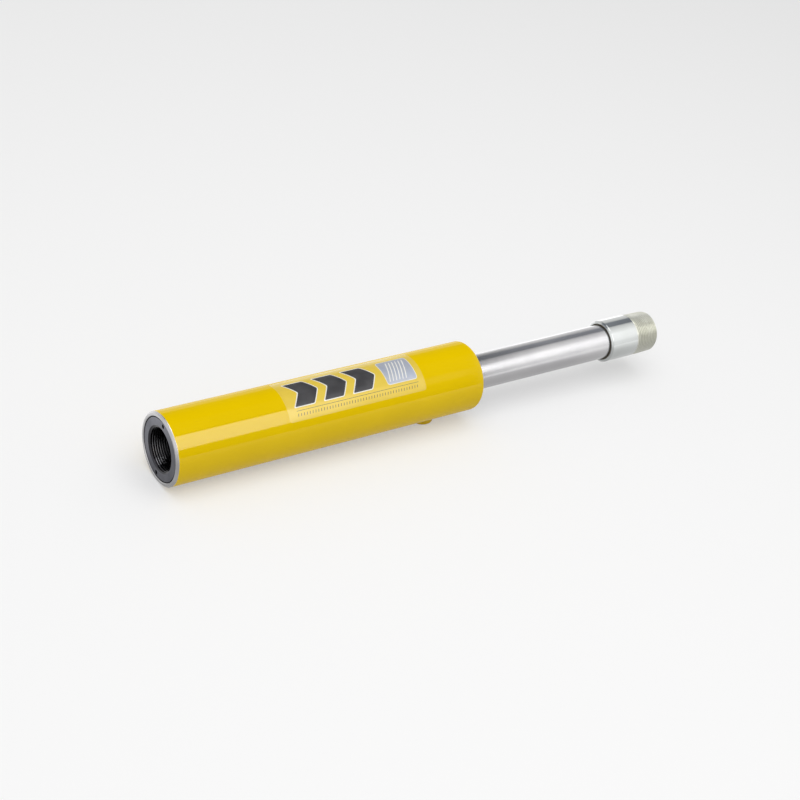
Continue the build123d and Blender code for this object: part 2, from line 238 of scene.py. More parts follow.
@dataclass(frozen=True)
class Finish:
    """One finish of the cylinder, made as a procedural material.

    Attributes:
        name: Material name.
        tint: Main colour.
        tint_far: Colour that the main one drifts towards in patches.
        roughness: Lowest and highest roughness.
        marks: What its fine relief comes from.
        relief: Height of the relief, mm.
        metallic: 1 for bare metal, 0 for the rest.
        patch: Size of the colour patches, mm.
        streak: How far streaks round the axis change the roughness, from 0 to 1.
        coat: Weight of a clear gloss layer.
        coat_roughness: Roughness of that layer.
        specular: Specular level of the body under it.
        groove: Painted shade, a darker colour in the bottom of thread grooves and on the entry cone inside a threaded
            bore, or None.
        groove_span: Depths, from 0 to 1, between which the painted groove shade takes over.
    """

    name: str
    tint: Colour
    tint_far: Colour
    roughness: Corner
    marks: Marks
    relief: float = 0.004
    metallic: float = 0.0
    patch: float = 18.0
    streak: float = 0.0
    coat: float = 0.0
    coat_roughness: float = 0.03
    specular: float = 0.5
    groove: Colour | None = None
    groove_span: Corner = (0.25, 1.0)

    def material(self) -> bpy.types.Material:
        """Builds the material once, and gives the same one afterwards.

        Returns:
            The material.
        """
        title = f"{self.name}_finish"
        if title in bpy.data.materials:
            return bpy.data.materials[title]
        made = bpy.data.materials.new(title)
        made.use_nodes = True
        bench = Bench(made.node_tree)
        shader = made.node_tree.nodes["Principled BSDF"]
        place = bench.node("ShaderNodeTexCoord").outputs["Object"]
        patches = bench.add("ShaderNodeTexNoise", {"Vector": place, "Scale": 1 / (self.patch * MM), "Detail": 4.0})
        lines = self._lines(bench, place)
        grain = self._relief(bench, place, lines)
        share = bench.spread(Value(bench, patches.outputs[0]), 0.35, 0.65, (0.0, 1.0))
        colour = bench.blend(share, self.tint, self.tint_far)
        # Painted shade: thread grooves, and the entry cone inside a threaded bore, drift towards the darker groove
        # colour.
        if self.groove:
            depth = bench.add("ShaderNodeAttribute", {}, attribute_name="groove").outputs["Fac"]
            colour = bench.blend(bench.spread(Value(bench, depth), *self.groove_span, (0.0, 0.9)), colour, self.groove)
        bench.feed(shader.inputs["Base Color"], colour)
        uneven = share * (1 - self.streak) + bench.spread(lines, 0.3, 0.7, (0.0, 1.0)) * self.streak
        bench.feed(shader.inputs["Roughness"], bench.spread(uneven, 0.0, 1.0, self.roughness))
        bump = bench.add("ShaderNodeBump", {"Height": grain, "Distance": self.relief * MM, "Strength": 1.0})
        bench.feed(shader.inputs["Normal"], bump.outputs[0])
        shader.inputs["Metallic"].default_value = self.metallic
        shader.inputs["Specular IOR Level"].default_value = self.specular
        shader.inputs["Coat Weight"].default_value = self.coat
        shader.inputs["Coat Roughness"].default_value = self.coat_roughness
        return made

    def _lines(self, bench: Bench, place: bpy.types.NodeSocket) -> Value:
        """Streaks that run round the X axis, on round walls and on flat faces alike.

        Args:
            bench: The material's bench.
            place: The object coordinates.

        Returns:
            Their strength, from 0 to 1.
        """
        per_metre = 9000.0 if self.marks is Marks.GROUND else 2600.0
        parts = bench.add("ShaderNodeSeparateXYZ", {"Vector": place}).outputs
        x, y, z = (Value(bench, socket) for socket in parts)
        radius = (y * y + z * z).step("SQRT").at_least(1e-5)
        point = bench.add("ShaderNodeCombineXYZ", {"X": x * per_metre, "Y": radius * per_metre, "Z": y / radius * 1.6})
        streaks = bench.node("ShaderNodeTexNoise", noise_dimensions="4D")
        bench.feed(streaks.inputs["Vector"], point.outputs[0])
        bench.feed(streaks.inputs["W"], z / radius * 1.6)
        streaks.inputs["Scale"].default_value = 1.0
        streaks.inputs["Detail"].default_value = 3.0
        return Value(bench, streaks.outputs[0])

    def _relief(self, bench: Bench, place: bpy.types.NodeSocket, lines: Value) -> Value:
        """The fine relief that drives the bump.

        Args:
            bench: The material's bench.
            place: The object coordinates.
            lines: The streaks round the axis.

        Returns:
            The relief's height, from 0 to 1.
        """
        if self.marks in (Marks.TURNED, Marks.GROUND):
            return lines
        if self.marks is Marks.SINTERED:
            grains = bench.add("ShaderNodeTexVoronoi", {"Vector": place, "Scale": 2600.0})
            return Value(bench, grains.outputs["Distance"])
        scale = 420.0 if self.marks is Marks.SPRAYED else 1500.0
        skin = bench.add("ShaderNodeTexNoise", {"Vector": place, "Scale": scale, "Detail": 2.0})
        return Value(bench, skin.outputs[0])


YELLOW_ENAMEL = Finish(
    "yellow_enamel", (0.80, 0.55, 0.0), (0.775, 0.53, 0.0), (0.35, 0.45), Marks.SPRAYED,
    relief=0.010, patch=55.0, coat=0.42, coat_roughness=0.03, specular=0.0,
)
BARE_STEEL = Finish(
    "bare_steel", (0.50, 0.495, 0.50), (0.42, 0.415, 0.42), (0.20, 0.38), Marks.TURNED,
    relief=0.004, metallic=1.0, streak=0.7,
)
# Its groove colour is painted shade in thread grooves.
BLACKENED_STEEL = Finish(
    "blackened_steel", (0.150, 0.152, 0.175), (0.115, 0.117, 0.137), (0.26, 0.44), Marks.TURNED,
    relief=0.004, metallic=1.0, streak=0.6, groove=(0.018, 0.018, 0.022),
)
# The base plug's bore thread: crests polished lighter, and the rest darkened almost to black as painted shade inside
# the bore.
POLISHED_CREST_SHADED_THREAD = Finish(
    "polished_crest_shaded_thread", (0.30, 0.30, 0.31), (0.20, 0.20, 0.21), (0.14, 0.24), Marks.TURNED,
    relief=0.002, metallic=1.0, streak=0.6, groove=(0.020, 0.020, 0.024), groove_span=(0.0, 0.12),
)
THREAD_SEALANT = Finish(
    "thread_sealant", (0.115, 0.088, 0.050), (0.070, 0.056, 0.034), (0.35, 0.55), Marks.MOULDED,
    relief=0.02, patch=2.0, coat=0.3, coat_roughness=0.15,
)
HARD_CHROME = Finish(
    "hard_chrome", (0.55, 0.545, 0.55), (0.52, 0.515, 0.525), (0.15, 0.23), Marks.GROUND,
    relief=0.0006, metallic=1.0, patch=40.0, streak=0.5,
)
# Its groove colour is painted shade in thread grooves.
ZINC_PLATE = Finish(
    "zinc_plate", (0.535, 0.55, 0.545), (0.515, 0.53, 0.52), (0.06, 0.11), Marks.TURNED,
    relief=0.0005, metallic=1.0, streak=0.6, groove=(0.50, 0.50, 0.42),
)
# Its groove colour is painted shade in thread grooves.
ZINC_THREAD = Finish(
    "zinc_thread", (0.66, 0.66, 0.60), (0.60, 0.60, 0.53), (0.26, 0.38), Marks.TURNED,
    relief=0.0015, metallic=1.0, streak=0.6, groove=(0.40, 0.40, 0.34),
)
SPRING_STEEL = Finish(
    "spring_steel", (0.13, 0.12, 0.12), (0.19, 0.15, 0.12), (0.35, 0.55), Marks.MOULDED,
    relief=0.006, metallic=1.0, patch=9.0,
)
SINTERED_BRONZE = Finish(
    "sintered_bronze", (0.52, 0.33, 0.15), (0.38, 0.23, 0.11), (0.45, 0.65), Marks.SINTERED,
    relief=0.12, metallic=1.0, patch=2.5,
)
SEAL_RUBBER = Finish(
    "seal_rubber", (0.018, 0.018, 0.019), (0.026, 0.026, 0.027), (0.45, 0.62), Marks.MOULDED,
    relief=0.006, patch=6.0,
)
SEAL_POLYURETHANE = Finish(
    "seal_polyurethane", (0.035, 0.075, 0.19), (0.028, 0.062, 0.16), (0.30, 0.42), Marks.MOULDED,
    relief=0.004, patch=7.0,
)
HARD_RING_PLASTIC = Finish(
    "hard_ring_plastic", (0.74, 0.72, 0.66), (0.68, 0.66, 0.60), (0.34, 0.48), Marks.TURNED,
    relief=0.003, patch=8.0, streak=0.3,
)
GUIDE_RING_PLASTIC = Finish(
    "guide_ring_plastic", (0.20, 0.085, 0.030), (0.15, 0.062, 0.022), (0.42, 0.58), Marks.TURNED,
    relief=0.005, patch=3.0, streak=0.3,
)
LABEL_FILM = Finish(
    "label_film", (0.77, 0.56, 0.06), (0.75, 0.54, 0.05), (0.30, 0.40), Marks.MOULDED,
    relief=0.002, patch=30.0, coat=0.4, coat_roughness=0.12,
)
LABEL_CHARCOAL = Finish(
    "label_charcoal", (0.032, 0.031, 0.034), (0.045, 0.044, 0.047), (0.30, 0.42), Marks.MOULDED,
    relief=0.002, patch=12.0, coat=0.4, coat_roughness=0.12,
)
LABEL_WHITE = Finish(
    "label_white", (0.86, 0.85, 0.80), (0.82, 0.81, 0.77), (0.32, 0.42), Marks.MOULDED,
    relief=0.002, patch=12.0, coat=0.4, coat_roughness=0.12,
)
LABEL_SILVER = Finish(
    "label_silver", (0.50, 0.53, 0.60), (0.42, 0.46, 0.56), (0.28, 0.40), Marks.MOULDED,
    relief=0.002, metallic=0.3, patch=10.0, coat=0.4, coat_roughness=0.12,
)


# Geometry Nodes


class SocketKind(Enum):
    """The kinds of input that the trees here take."""

    SIZE = "NodeSocketFloat"
    COUNT = "NodeSocketInt"
    FINISH = "NodeSocketMaterial"


class Tree:
    """A Geometry Nodes tree with named inputs, wrapped round a grid of points.

    A subclass says where each point of the grid goes.
    """

    name = "tree"
    inputs: dict[str, SocketKind] = {}

    def __init__(self) -> None:
        """Makes the empty tree, its inputs and its output."""
        self.group = bpy.data.node_groups.new(self.name, "GeometryNodeTree")
        self.bench = Bench(self.group)
        self.sockets: dict[str, str] = {}
        face = self.group.interface
        for title, kind in {**self.inputs, "Finish": SocketKind.FINISH}.items():
            item = face.new_socket(name=title, in_out="INPUT", socket_type=kind.value)
            self.sockets[title] = item.identifier
        face.new_socket(name="Geometry", in_out="OUTPUT", socket_type="NodeSocketGeometry")
        self.source = self.bench.node("NodeGroupInput")
        self.build()

    def given(self, title: str) -> Value:
        """The value of a named input."""
        return Value(self.bench, self.source.outputs[title])

    def build(self) -> None:
        """Adds the nodes. Each subclass has its own."""
        raise NotImplementedError

    def grid(self, rows: Value, columns: Value) -> tuple[bpy.types.NodeSocket, Value, Value]:
        """A grid of points, and the row and column number of each.

        Args:
            rows: How many rows of points.
            columns: How many points in a row.

        Returns:
            The grid, the row number and the column number.
        """
        made = self.bench.add("GeometryNodeMeshGrid", {"Vertices X": rows, "Vertices Y": columns})
        index = Value(self.bench, self.bench.node("GeometryNodeInputIndex").outputs[0])
        row = ((index + 0.5) / columns).step("FLOOR")
        return made.outputs["Mesh"], row, index - row * columns

    def moved(self, mesh: object, x: object, y: object, z: object) -> bpy.types.NodeSocket:
        """Puts each point at a place, given in millimetres.

        Args:
            mesh: The geometry.
            x: Place along X.
            y: Place along Y.
            z: Place along Z.

        Returns:
            The moved geometry.
        """
        place = self.bench.add("ShaderNodeCombineXYZ", {"X": x * MM, "Y": y * MM, "Z": z * MM})
        made = self.bench.add("GeometryNodeSetPosition", {"Geometry": mesh, "Position": place.outputs[0]})
        return made.outputs[0]

    def close(self, mesh: object) -> None:
        """Welds the seams, then ends the tree in Realize Instances and Set Material.

        Args:
            mesh: The finished geometry.
        """
        steps = (
            ("GeometryNodeMergeByDistance", {"Distance": 0.001 * MM}),
            ("GeometryNodeSetShadeSmooth", {}),
            ("GeometryNodeRealizeInstances", {}),
            ("GeometryNodeSetMaterial", {"Material": self.source.outputs["Finish"]}),
        )
        for kind, inputs in steps:
            node = self.bench.node(kind)
            self.bench.feed(node.inputs[0], mesh)
            for title, value in inputs.items():
                self.bench.feed(node.inputs[title], value)
            mesh = node.outputs[0]
        self.bench.feed(self.bench.node("NodeGroupOutput").inputs[0], mesh)

    def mesh(self, name: str, finish: Finish, **values: float) -> bpy.types.Mesh:
        """Runs the tree on an empty object and takes the result as a plain mesh.

        Args:
            name: Name of the mesh.
            finish: Finish of its faces.
            **values: The tree's inputs, with _ for the spaces in their names.

        Returns:
            The plain mesh.
        """
        holder = bpy.data.objects.new(name, bpy.data.meshes.new(name))
        bpy.context.scene.collection.objects.link(holder)
        modifier = holder.modifiers.new(self.name, "NODES")
        modifier.node_group = self.group
        for title, value in values.items():
            title = title.replace("_", " ")
            whole = self.inputs[title] is SocketKind.COUNT
            modifier[self.sockets[title]] = int(value) if whole else float(value)
        modifier[self.sockets["Finish"]] = finish.material()
        return flattened(holder)


class ThreadTree(Tree):
    """A screw thread round the X axis, on a grid that follows the helix, so that every ridge is an edge line.

    The thread tapers, its tops may be cut off by a cap, and a cone at each end opens or closes it.
    """

    name = "screw_thread"
    inputs = {
        "Start": SocketKind.SIZE, "Length": SocketKind.SIZE, "Pitch": SocketKind.SIZE,
        "Inner Radius": SocketKind.SIZE, "Depth": SocketKind.SIZE, "Taper": SocketKind.SIZE,
        "Cap Radius": SocketKind.SIZE, "First Cone Radius": SocketKind.SIZE, "First Cone Slope": SocketKind.SIZE,
        "Last Cone Radius": SocketKind.SIZE, "Last Cone Slope": SocketKind.SIZE,
        "Outside": SocketKind.SIZE, "Steps Around": SocketKind.COUNT, "Steps Per Pitch": SocketKind.COUNT,
    }

    def build(self) -> None:
        """Works out the radius of each point from its phase in the thread and its place along it."""
        give = self.given
        per_pitch, around = give("Steps Per Pitch"), give("Steps Around")
        rows = ((give("Length") / give("Pitch") + 1) * per_pitch).step("CEIL") + 1
        mesh, row, column = self.grid(rows, around + 1)
        turn = column / around
        along = ((row / per_pitch + turn - 1) * give("Pitch")).at_least(0.0).at_most(give("Length"))
        ridge = ((row / per_pitch).step("FRACT") * 2 - 1).step("ABSOLUTE")
        ridge = ((ridge - 0.14) / 0.72).at_least(0.0).at_most(1.0)
        thread = give("Inner Radius") - along * give("Taper") + ridge * give("Depth")
        opened = (give("First Cone Radius") - along * give("First Cone Slope")).at_least(
            thread.at_most(give("Cap Radius")))
        radius = opened.at_most(give("Last Cone Radius") + (give("Length") - along) * give("Last Cone Slope"))
        angle = turn * math.tau
        moved = self.moved(mesh, give("Start") + along, radius * angle.step("COSINE"), radius * angle.step("SINE"))
        # The stored groove value is the depth in the thread, set to full on the entry cone inside a bore; the finishes
        # paint shade there.
        mouth = ((opened - thread) * 200 * (1 - give("Outside"))).at_least(0.0).at_most(1.0)
        stored = self.bench.add("GeometryNodeStoreNamedAttribute", {
            "Geometry": moved, "Name": "groove", "Value": (give("Outside") - ridge).step("ABSOLUTE").at_least(mouth),
        }, data_type="FLOAT", domain="POINT")
        self.close(stored.outputs[0])


class WeldBeadTree(Tree):
    """A rippled weld bead round the foot of an upright boss on a lying tube."""

    name = "weld_bead"
    inputs = {
        "Port Place": SocketKind.SIZE, "Boss Radius": SocketKind.SIZE, "Tube Radius": SocketKind.SIZE,
        "Bead Radius": SocketKind.SIZE, "Ripples": SocketKind.COUNT, "Ripple Depth": SocketKind.SIZE,
        "Steps Around": SocketKind.COUNT, "Steps Across": SocketKind.COUNT, "Seed": SocketKind.COUNT,
    }

    def build(self) -> None:
        """Wraps the bead's round section along the saddle line, its size rising and falling with each ripple."""
        give = self.given
        around, across = give("Steps Around"), give("Steps Across")
        mesh, row, column = self.grid(around + 1, across + 1)
        turn = row / around
        angle, section = turn * math.tau, column / across * math.tau
        wander = self.bench.node("ShaderNodeTexNoise", noise_dimensions="4D")
        self.bench.feed(wander.inputs["Vector"], self.bench.add("ShaderNodeCombineXYZ", {
            "X": angle.step("COSINE"), "Y": angle.step("SINE")}).outputs[0])
        self.bench.feed(wander.inputs["W"], give("Seed"))
        wander.inputs["Scale"].default_value = 4.0
        drift = Value(self.bench, wander.outputs[0]) - 0.5
        lean = section.step("COSINE") * 0.12
        phase = (turn + drift * 0.008) * give("Ripples") + lean
        ripple = (phase.step("FRACT") * 2 - 1).step("ABSOLUTE")
        radius = give("Bead Radius") * (1 + drift * 0.22) - ripple * ripple * give("Ripple Depth")
        out = give("Boss Radius") + section.step("COSINE") * radius
        side = angle.step("SINE") * give("Boss Radius")
        saddle = (give("Tube Radius") * give("Tube Radius") - side * side).step("SQRT")
        moved = self.moved(
            mesh, give("Port Place") + angle.step("COSINE") * out, angle.step("SINE") * out,
            (saddle + section.step("SINE") * radius) * -1,
        )
        self.close(moved)


class SpringTree(Tree):
    """A flat-wire compression spring round the X axis, with a closed and ground turn at each end."""

    name = "flat_wire_spring"
    inputs = {
        "Start": SocketKind.SIZE, "Length": SocketKind.SIZE, "Mean Radius": SocketKind.SIZE,
        "Wire Size": SocketKind.SIZE, "Wire Corner": SocketKind.SIZE, "End Pitch": SocketKind.SIZE,
        "Turns": SocketKind.SIZE, "Steps Per Turn": SocketKind.COUNT, "Steps Across": SocketKind.COUNT,
    }

    def build(self) -> None:
        """Carries the rounded square of the wire along the helix, and grinds both ends flat."""
        give = self.given
        rows = give("Turns") * give("Steps Per Turn")
        mesh, row, column = self.grid(rows + 1, give("Steps Across") + 1)
        turn = row / give("Steps Per Turn")
        open_turns = give("Turns") - 2
        open_pitch = (give("Length") - give("End Pitch") * 2) / open_turns
        closed = turn.at_most(1.0) + (turn - open_turns - 1).at_least(0.0)
        opened = (turn - 1).at_least(0.0).at_most(open_turns)
        centre = closed * give("End Pitch") + opened * open_pitch
        around = column / give("Steps Across") * math.tau
        half = give("Wire Size") / 2
        swell = half + give("Wire Corner")
        axial = (around.step("COSINE") * swell * 1.25).at_least(half * -1).at_most(half)
        radial = (around.step("SINE") * swell * 1.25).at_least(half * -1).at_most(half)
        tip = (row * (rows - row)).at_most(1.0)
        along = (centre + axial * tip).at_least(0.0).at_most(give("Length"))
        radius = give("Mean Radius") + radial * tip
        angle = turn * math.tau
        self.close(self.moved(
            mesh, give("Start") + along, radius * angle.step("COSINE"), radius * angle.step("SINE")))


class MarkRowTree(Tree):
    """A row of slanted printed marks, laid round a tube."""

    name = "mark_row"
    inputs = {
        "Start": SocketKind.SIZE, "Foot": SocketKind.SIZE, "Spacing": SocketKind.SIZE, "Count": SocketKind.COUNT,
        "Width": SocketKind.SIZE, "Height": SocketKind.SIZE, "Slant": SocketKind.SIZE,
        "Tube Radius": SocketKind.SIZE, "Lower Angle": SocketKind.SIZE,
    }

    def build(self) -> None:
        """Repeats one small grid along the tube, then wraps the whole row round it."""
        give, bench = self.given, self.bench
        mark = bench.add("GeometryNodeMeshGrid", {
            "Size X": give("Width"), "Size Y": give("Height"), "Vertices X": 2, "Vertices Y": 9})
        step = bench.add("ShaderNodeCombineXYZ", {"X": give("Spacing")})
        line = bench.add("GeometryNodeMeshLine", {"Count": give("Count"), "Offset": step.outputs[0]})
        row = bench.add("GeometryNodeInstanceOnPoints", {"Points": line.outputs[0], "Instance": mark.outputs["Mesh"]})
        real = bench.add("GeometryNodeRealizeInstances", {"Geometry": row.outputs[0]})
        parts = bench.add("ShaderNodeSeparateXYZ", {"Vector": bench.node("GeometryNodeInputPosition").outputs[0]})
        x, rise = Value(bench, parts.outputs[0]), Value(bench, parts.outputs[1])
        height = rise + give("Height") / 2
        angle = give("Lower Angle") - (give("Foot") + height) / give("Tube Radius")
        self.close(self.moved(
            real.outputs[0], give("Start") + x + height * give("Slant"),
            give("Tube Radius") * angle.step("COSINE"), give("Tube Radius") * angle.step("SINE"),
        ))


# Mesh work


def flattened(holder: bpy.types.Object) -> bpy.types.Mesh:
    """Takes an object's evaluated shape as a plain mesh and removes the object.

    Args:
        holder: The object with its modifiers.

    Returns:
        The plain mesh.
    """
    evaluated = holder.evaluated_get(bpy.context.evaluated_depsgraph_get())
    mesh = bpy.data.meshes.new_from_object(evaluated)
    mesh.name = holder.name
    bpy.data.objects.remove(holder)
    return mesh


def eased(outline: list[Corner], radius: float) -> list[Corner]:
    """Rounds the corners of a closed outline a little, as a deburred edge is.

    Args:
        outline: Its corners.
        radius: Rounding radius, held to a third of each side.

    Returns:
        The rounded outline.
    """
    rounded: list[Corner] = []
    for index, corner in enumerate(outline):
        before, after = Vector(outline[index - 1]), Vector(outline[(index + 1) % len(outline)])
        here = Vector(corner)
        back, ahead = before - here, after - here
        reach = min(radius, back.length / 3, ahead.length / 3)
        on_axis = abs(corner[1]) < 1e-6
        if on_axis or reach < 1e-4 or back.angle(ahead, math.pi) > math.radians(172):
            rounded.append(corner)
            continue
        first, last = here + back.normalized() * reach, here + ahead.normalized() * reach
        for share in (0.0, 0.33, 0.67, 1.0):
            bow = first.lerp(here, share).lerp(here.lerp(last, share), share)
            rounded.append((bow.x, bow.y))
    return rounded


def held(outline: list[Corner], closed: bool, reach: float = 0.08) -> list[Corner]:
    """Adds a corner close to both ends of each long side, so that its reflections stay straight.

    Args:
        outline: Its corners.
        closed: True where the last corner joins the first.
        reach: How far from the ends the new corners are.

    Returns:
        The outline with the added corners.
    """
    longer: list[Corner] = []
    for index, corner in enumerate(outline):
        longer.append(corner)
        if index == len(outline) - 1 and not closed:
            continue
        here, after = Vector(corner), Vector(outline[(index + 1) % len(outline)])
        span = (after - here).length
        if span > reach * 10:
            for share in (reach / span, 1 - reach / span):
                point = here.lerp(after, share)
                longer.append((point.x, point.y))
    return longer


def turned(outline: list[Corner], steps: int = 192, closed: bool = True) -> bmesh.types.BMesh:
    """Turns a half outline about the X axis.

    Args:
        outline: Corners as (place along X, radius), in mm.
        steps: Faces round the axis.
        closed: True where the last corner joins the first.

    Returns:
        The turned shape, in metres, its faces not yet turned outwards.
    """
    form = bmesh.new()
    rings = []
    for x, radius in held(outline, closed):
        count = 1 if radius < 1e-6 else steps
        ring = []
        for step in range(count):
            angle = math.tau * step / steps
            point = (x, radius * math.cos(angle), radius * math.sin(angle))
            ring.append(form.verts.new(Vector(point) * MM))
        rings.append(ring)
    pairs = list(zip(rings, rings[1:] + rings[:1]))
    for first, second in pairs if closed else pairs[:-1]:
        for step in range(steps if max(len(first), len(second)) > 1 else 0):
            after = (step + 1) % steps
            corners = []
            for ring, at in ((first, step), (first, after), (second, after), (second, step)):
                vertex = ring[at % len(ring)]
                if vertex not in corners:
                    corners.append(vertex)
            if len(corners) > 2:
                form.faces.new(corners)
    return form


def merged(name: str, forms: list[bpy.types.Mesh | bmesh.types.BMesh]) -> bpy.types.Mesh:
    """Joins shapes into one mesh, welds them where they meet and turns the faces outwards.

    Args:
        name: Name of the mesh.
        forms: Meshes or bmeshes; a bmesh is freed.

    Returns:
        The joined mesh.
    """
    holders = []
    for form in forms:
        if isinstance(form, bmesh.types.BMesh):
            mesh = bpy.data.meshes.new(name)
            form.to_mesh(mesh)
            form.free()
            form = mesh
        form.materials.clear()
        holder = bpy.data.objects.new(name, form)
        bpy.context.scene.collection.objects.link(holder)
        holders.append(holder)
    if len(holders) > 1:
        with bpy.context.temp_override(active_object=holders[0], selected_editable_objects=holders):
            bpy.ops.object.join()
    mesh = holders[0].data
    bpy.data.objects.remove(holders[0])
    form = bmesh.new()
    form.from_mesh(mesh)
    bmesh.ops.remove_doubles(form, verts=form.verts, dist=0.002 * MM)
    bmesh.ops.dissolve_degenerate(form, edges=form.edges, dist=0.0005 * MM)
    bmesh.ops.recalc_face_normals(form, faces=form.faces)
    form.to_mesh(mesh)
    form.free()
    return mesh


def drilled(mesh: bpy.types.Mesh, drills: list[bmesh.types.BMesh]) -> bpy.types.Mesh:
    """Cuts holes in a closed mesh.

    Args:
        mesh: What is cut.
        drills: Closed shapes that are taken away.

    Returns:
        The cut mesh.
    """
    holder = bpy.data.objects.new(mesh.name, mesh)
    bpy.context.scene.collection.objects.link(holder)
    tools = []
    for drill in drills:
        tool = bpy.data.objects.new("drill", merged("drill", [drill]))
        bpy.context.scene.collection.objects.link(tool)
        modifier = holder.modifiers.new("hole", "BOOLEAN")
        modifier.operation, modifier.solver, modifier.object = "DIFFERENCE", "EXACT", tool
        tools.append(tool)
    cut = flattened(holder)
    for tool in tools:
        bpy.data.objects.remove(tool)
    return cut


def drill_shape(radius: float, start: float, depth: float, steps: int = 40) -> bmesh.types.BMesh:
    """A twist drill's shape along X, with its pointed end forward.

    Args:
        radius: Drill radius, mm.
        start: Where the hole starts; the shape begins a little before it.
        depth: Depth of the hole, negative for one that runs backwards.
        steps: Faces round it.

    Returns:
        The shape.
    """
    way = math.copysign(1.0, depth)
    end = start + depth
    return turned([(start - way, 0), (start - way, radius), (end, radius), (end + way * radius * 0.6, 0)],
                  steps, closed=False)


def smoothed(mesh: bpy.types.Mesh, angle: float = 32.0) -> bpy.types.Mesh:
    """Shades a mesh smooth, with its sharp edges kept.

    Args:
        mesh: The mesh.
        angle: Edges that bend more than this, in degrees, stay sharp.

    Returns:
        The same mesh.
    """
    mesh.shade_smooth()
    mesh.set_sharp_from_angle(angle=math.radians(angle))
    return mesh


def put(name: str, mesh: bpy.types.Mesh, body: str, finishes: list[Finish],
        stands_for: tuple[str, ...] = ()) -> bpy.types.Object:
    """Makes a finished mesh a piece of the cylinder.

    Args:
        name: Name of the piece.
        mesh: Its mesh, in place.
        body: The body it rides on.
        finishes: Its finishes, in the order of the faces' material numbers.
        stands_for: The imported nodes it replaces.

    Returns:
        The piece.
    """
    numbers = [face.material_index for face in mesh.polygons]
    mesh.name = name
    mesh.materials.clear()
    for finish in finishes:
        mesh.materials.append(finish.material())
    mesh.polygons.foreach_set("material_index", numbers)
    piece = bpy.data.objects.new(name, mesh)
    bpy.context.scene.collection.objects.link(piece)
    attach(piece, body)
    if stands_for:
        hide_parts(*stands_for)
    LOG.info("piece %s on %s: %d faces", name, body, len(mesh.polygons))
    return piece


def dress(finish: Finish, *nodes: str) -> None:
    """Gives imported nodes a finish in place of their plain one.

    Args:
        finish: The finish.
        *nodes: Names of the nodes.
    """
    for name in nodes:
        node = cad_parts[name]
        node.data.materials.clear()
        node.data.materials.append(finish.material())
        LOG.info("node %s dressed in %s", name, finish.name)


# The cylinder


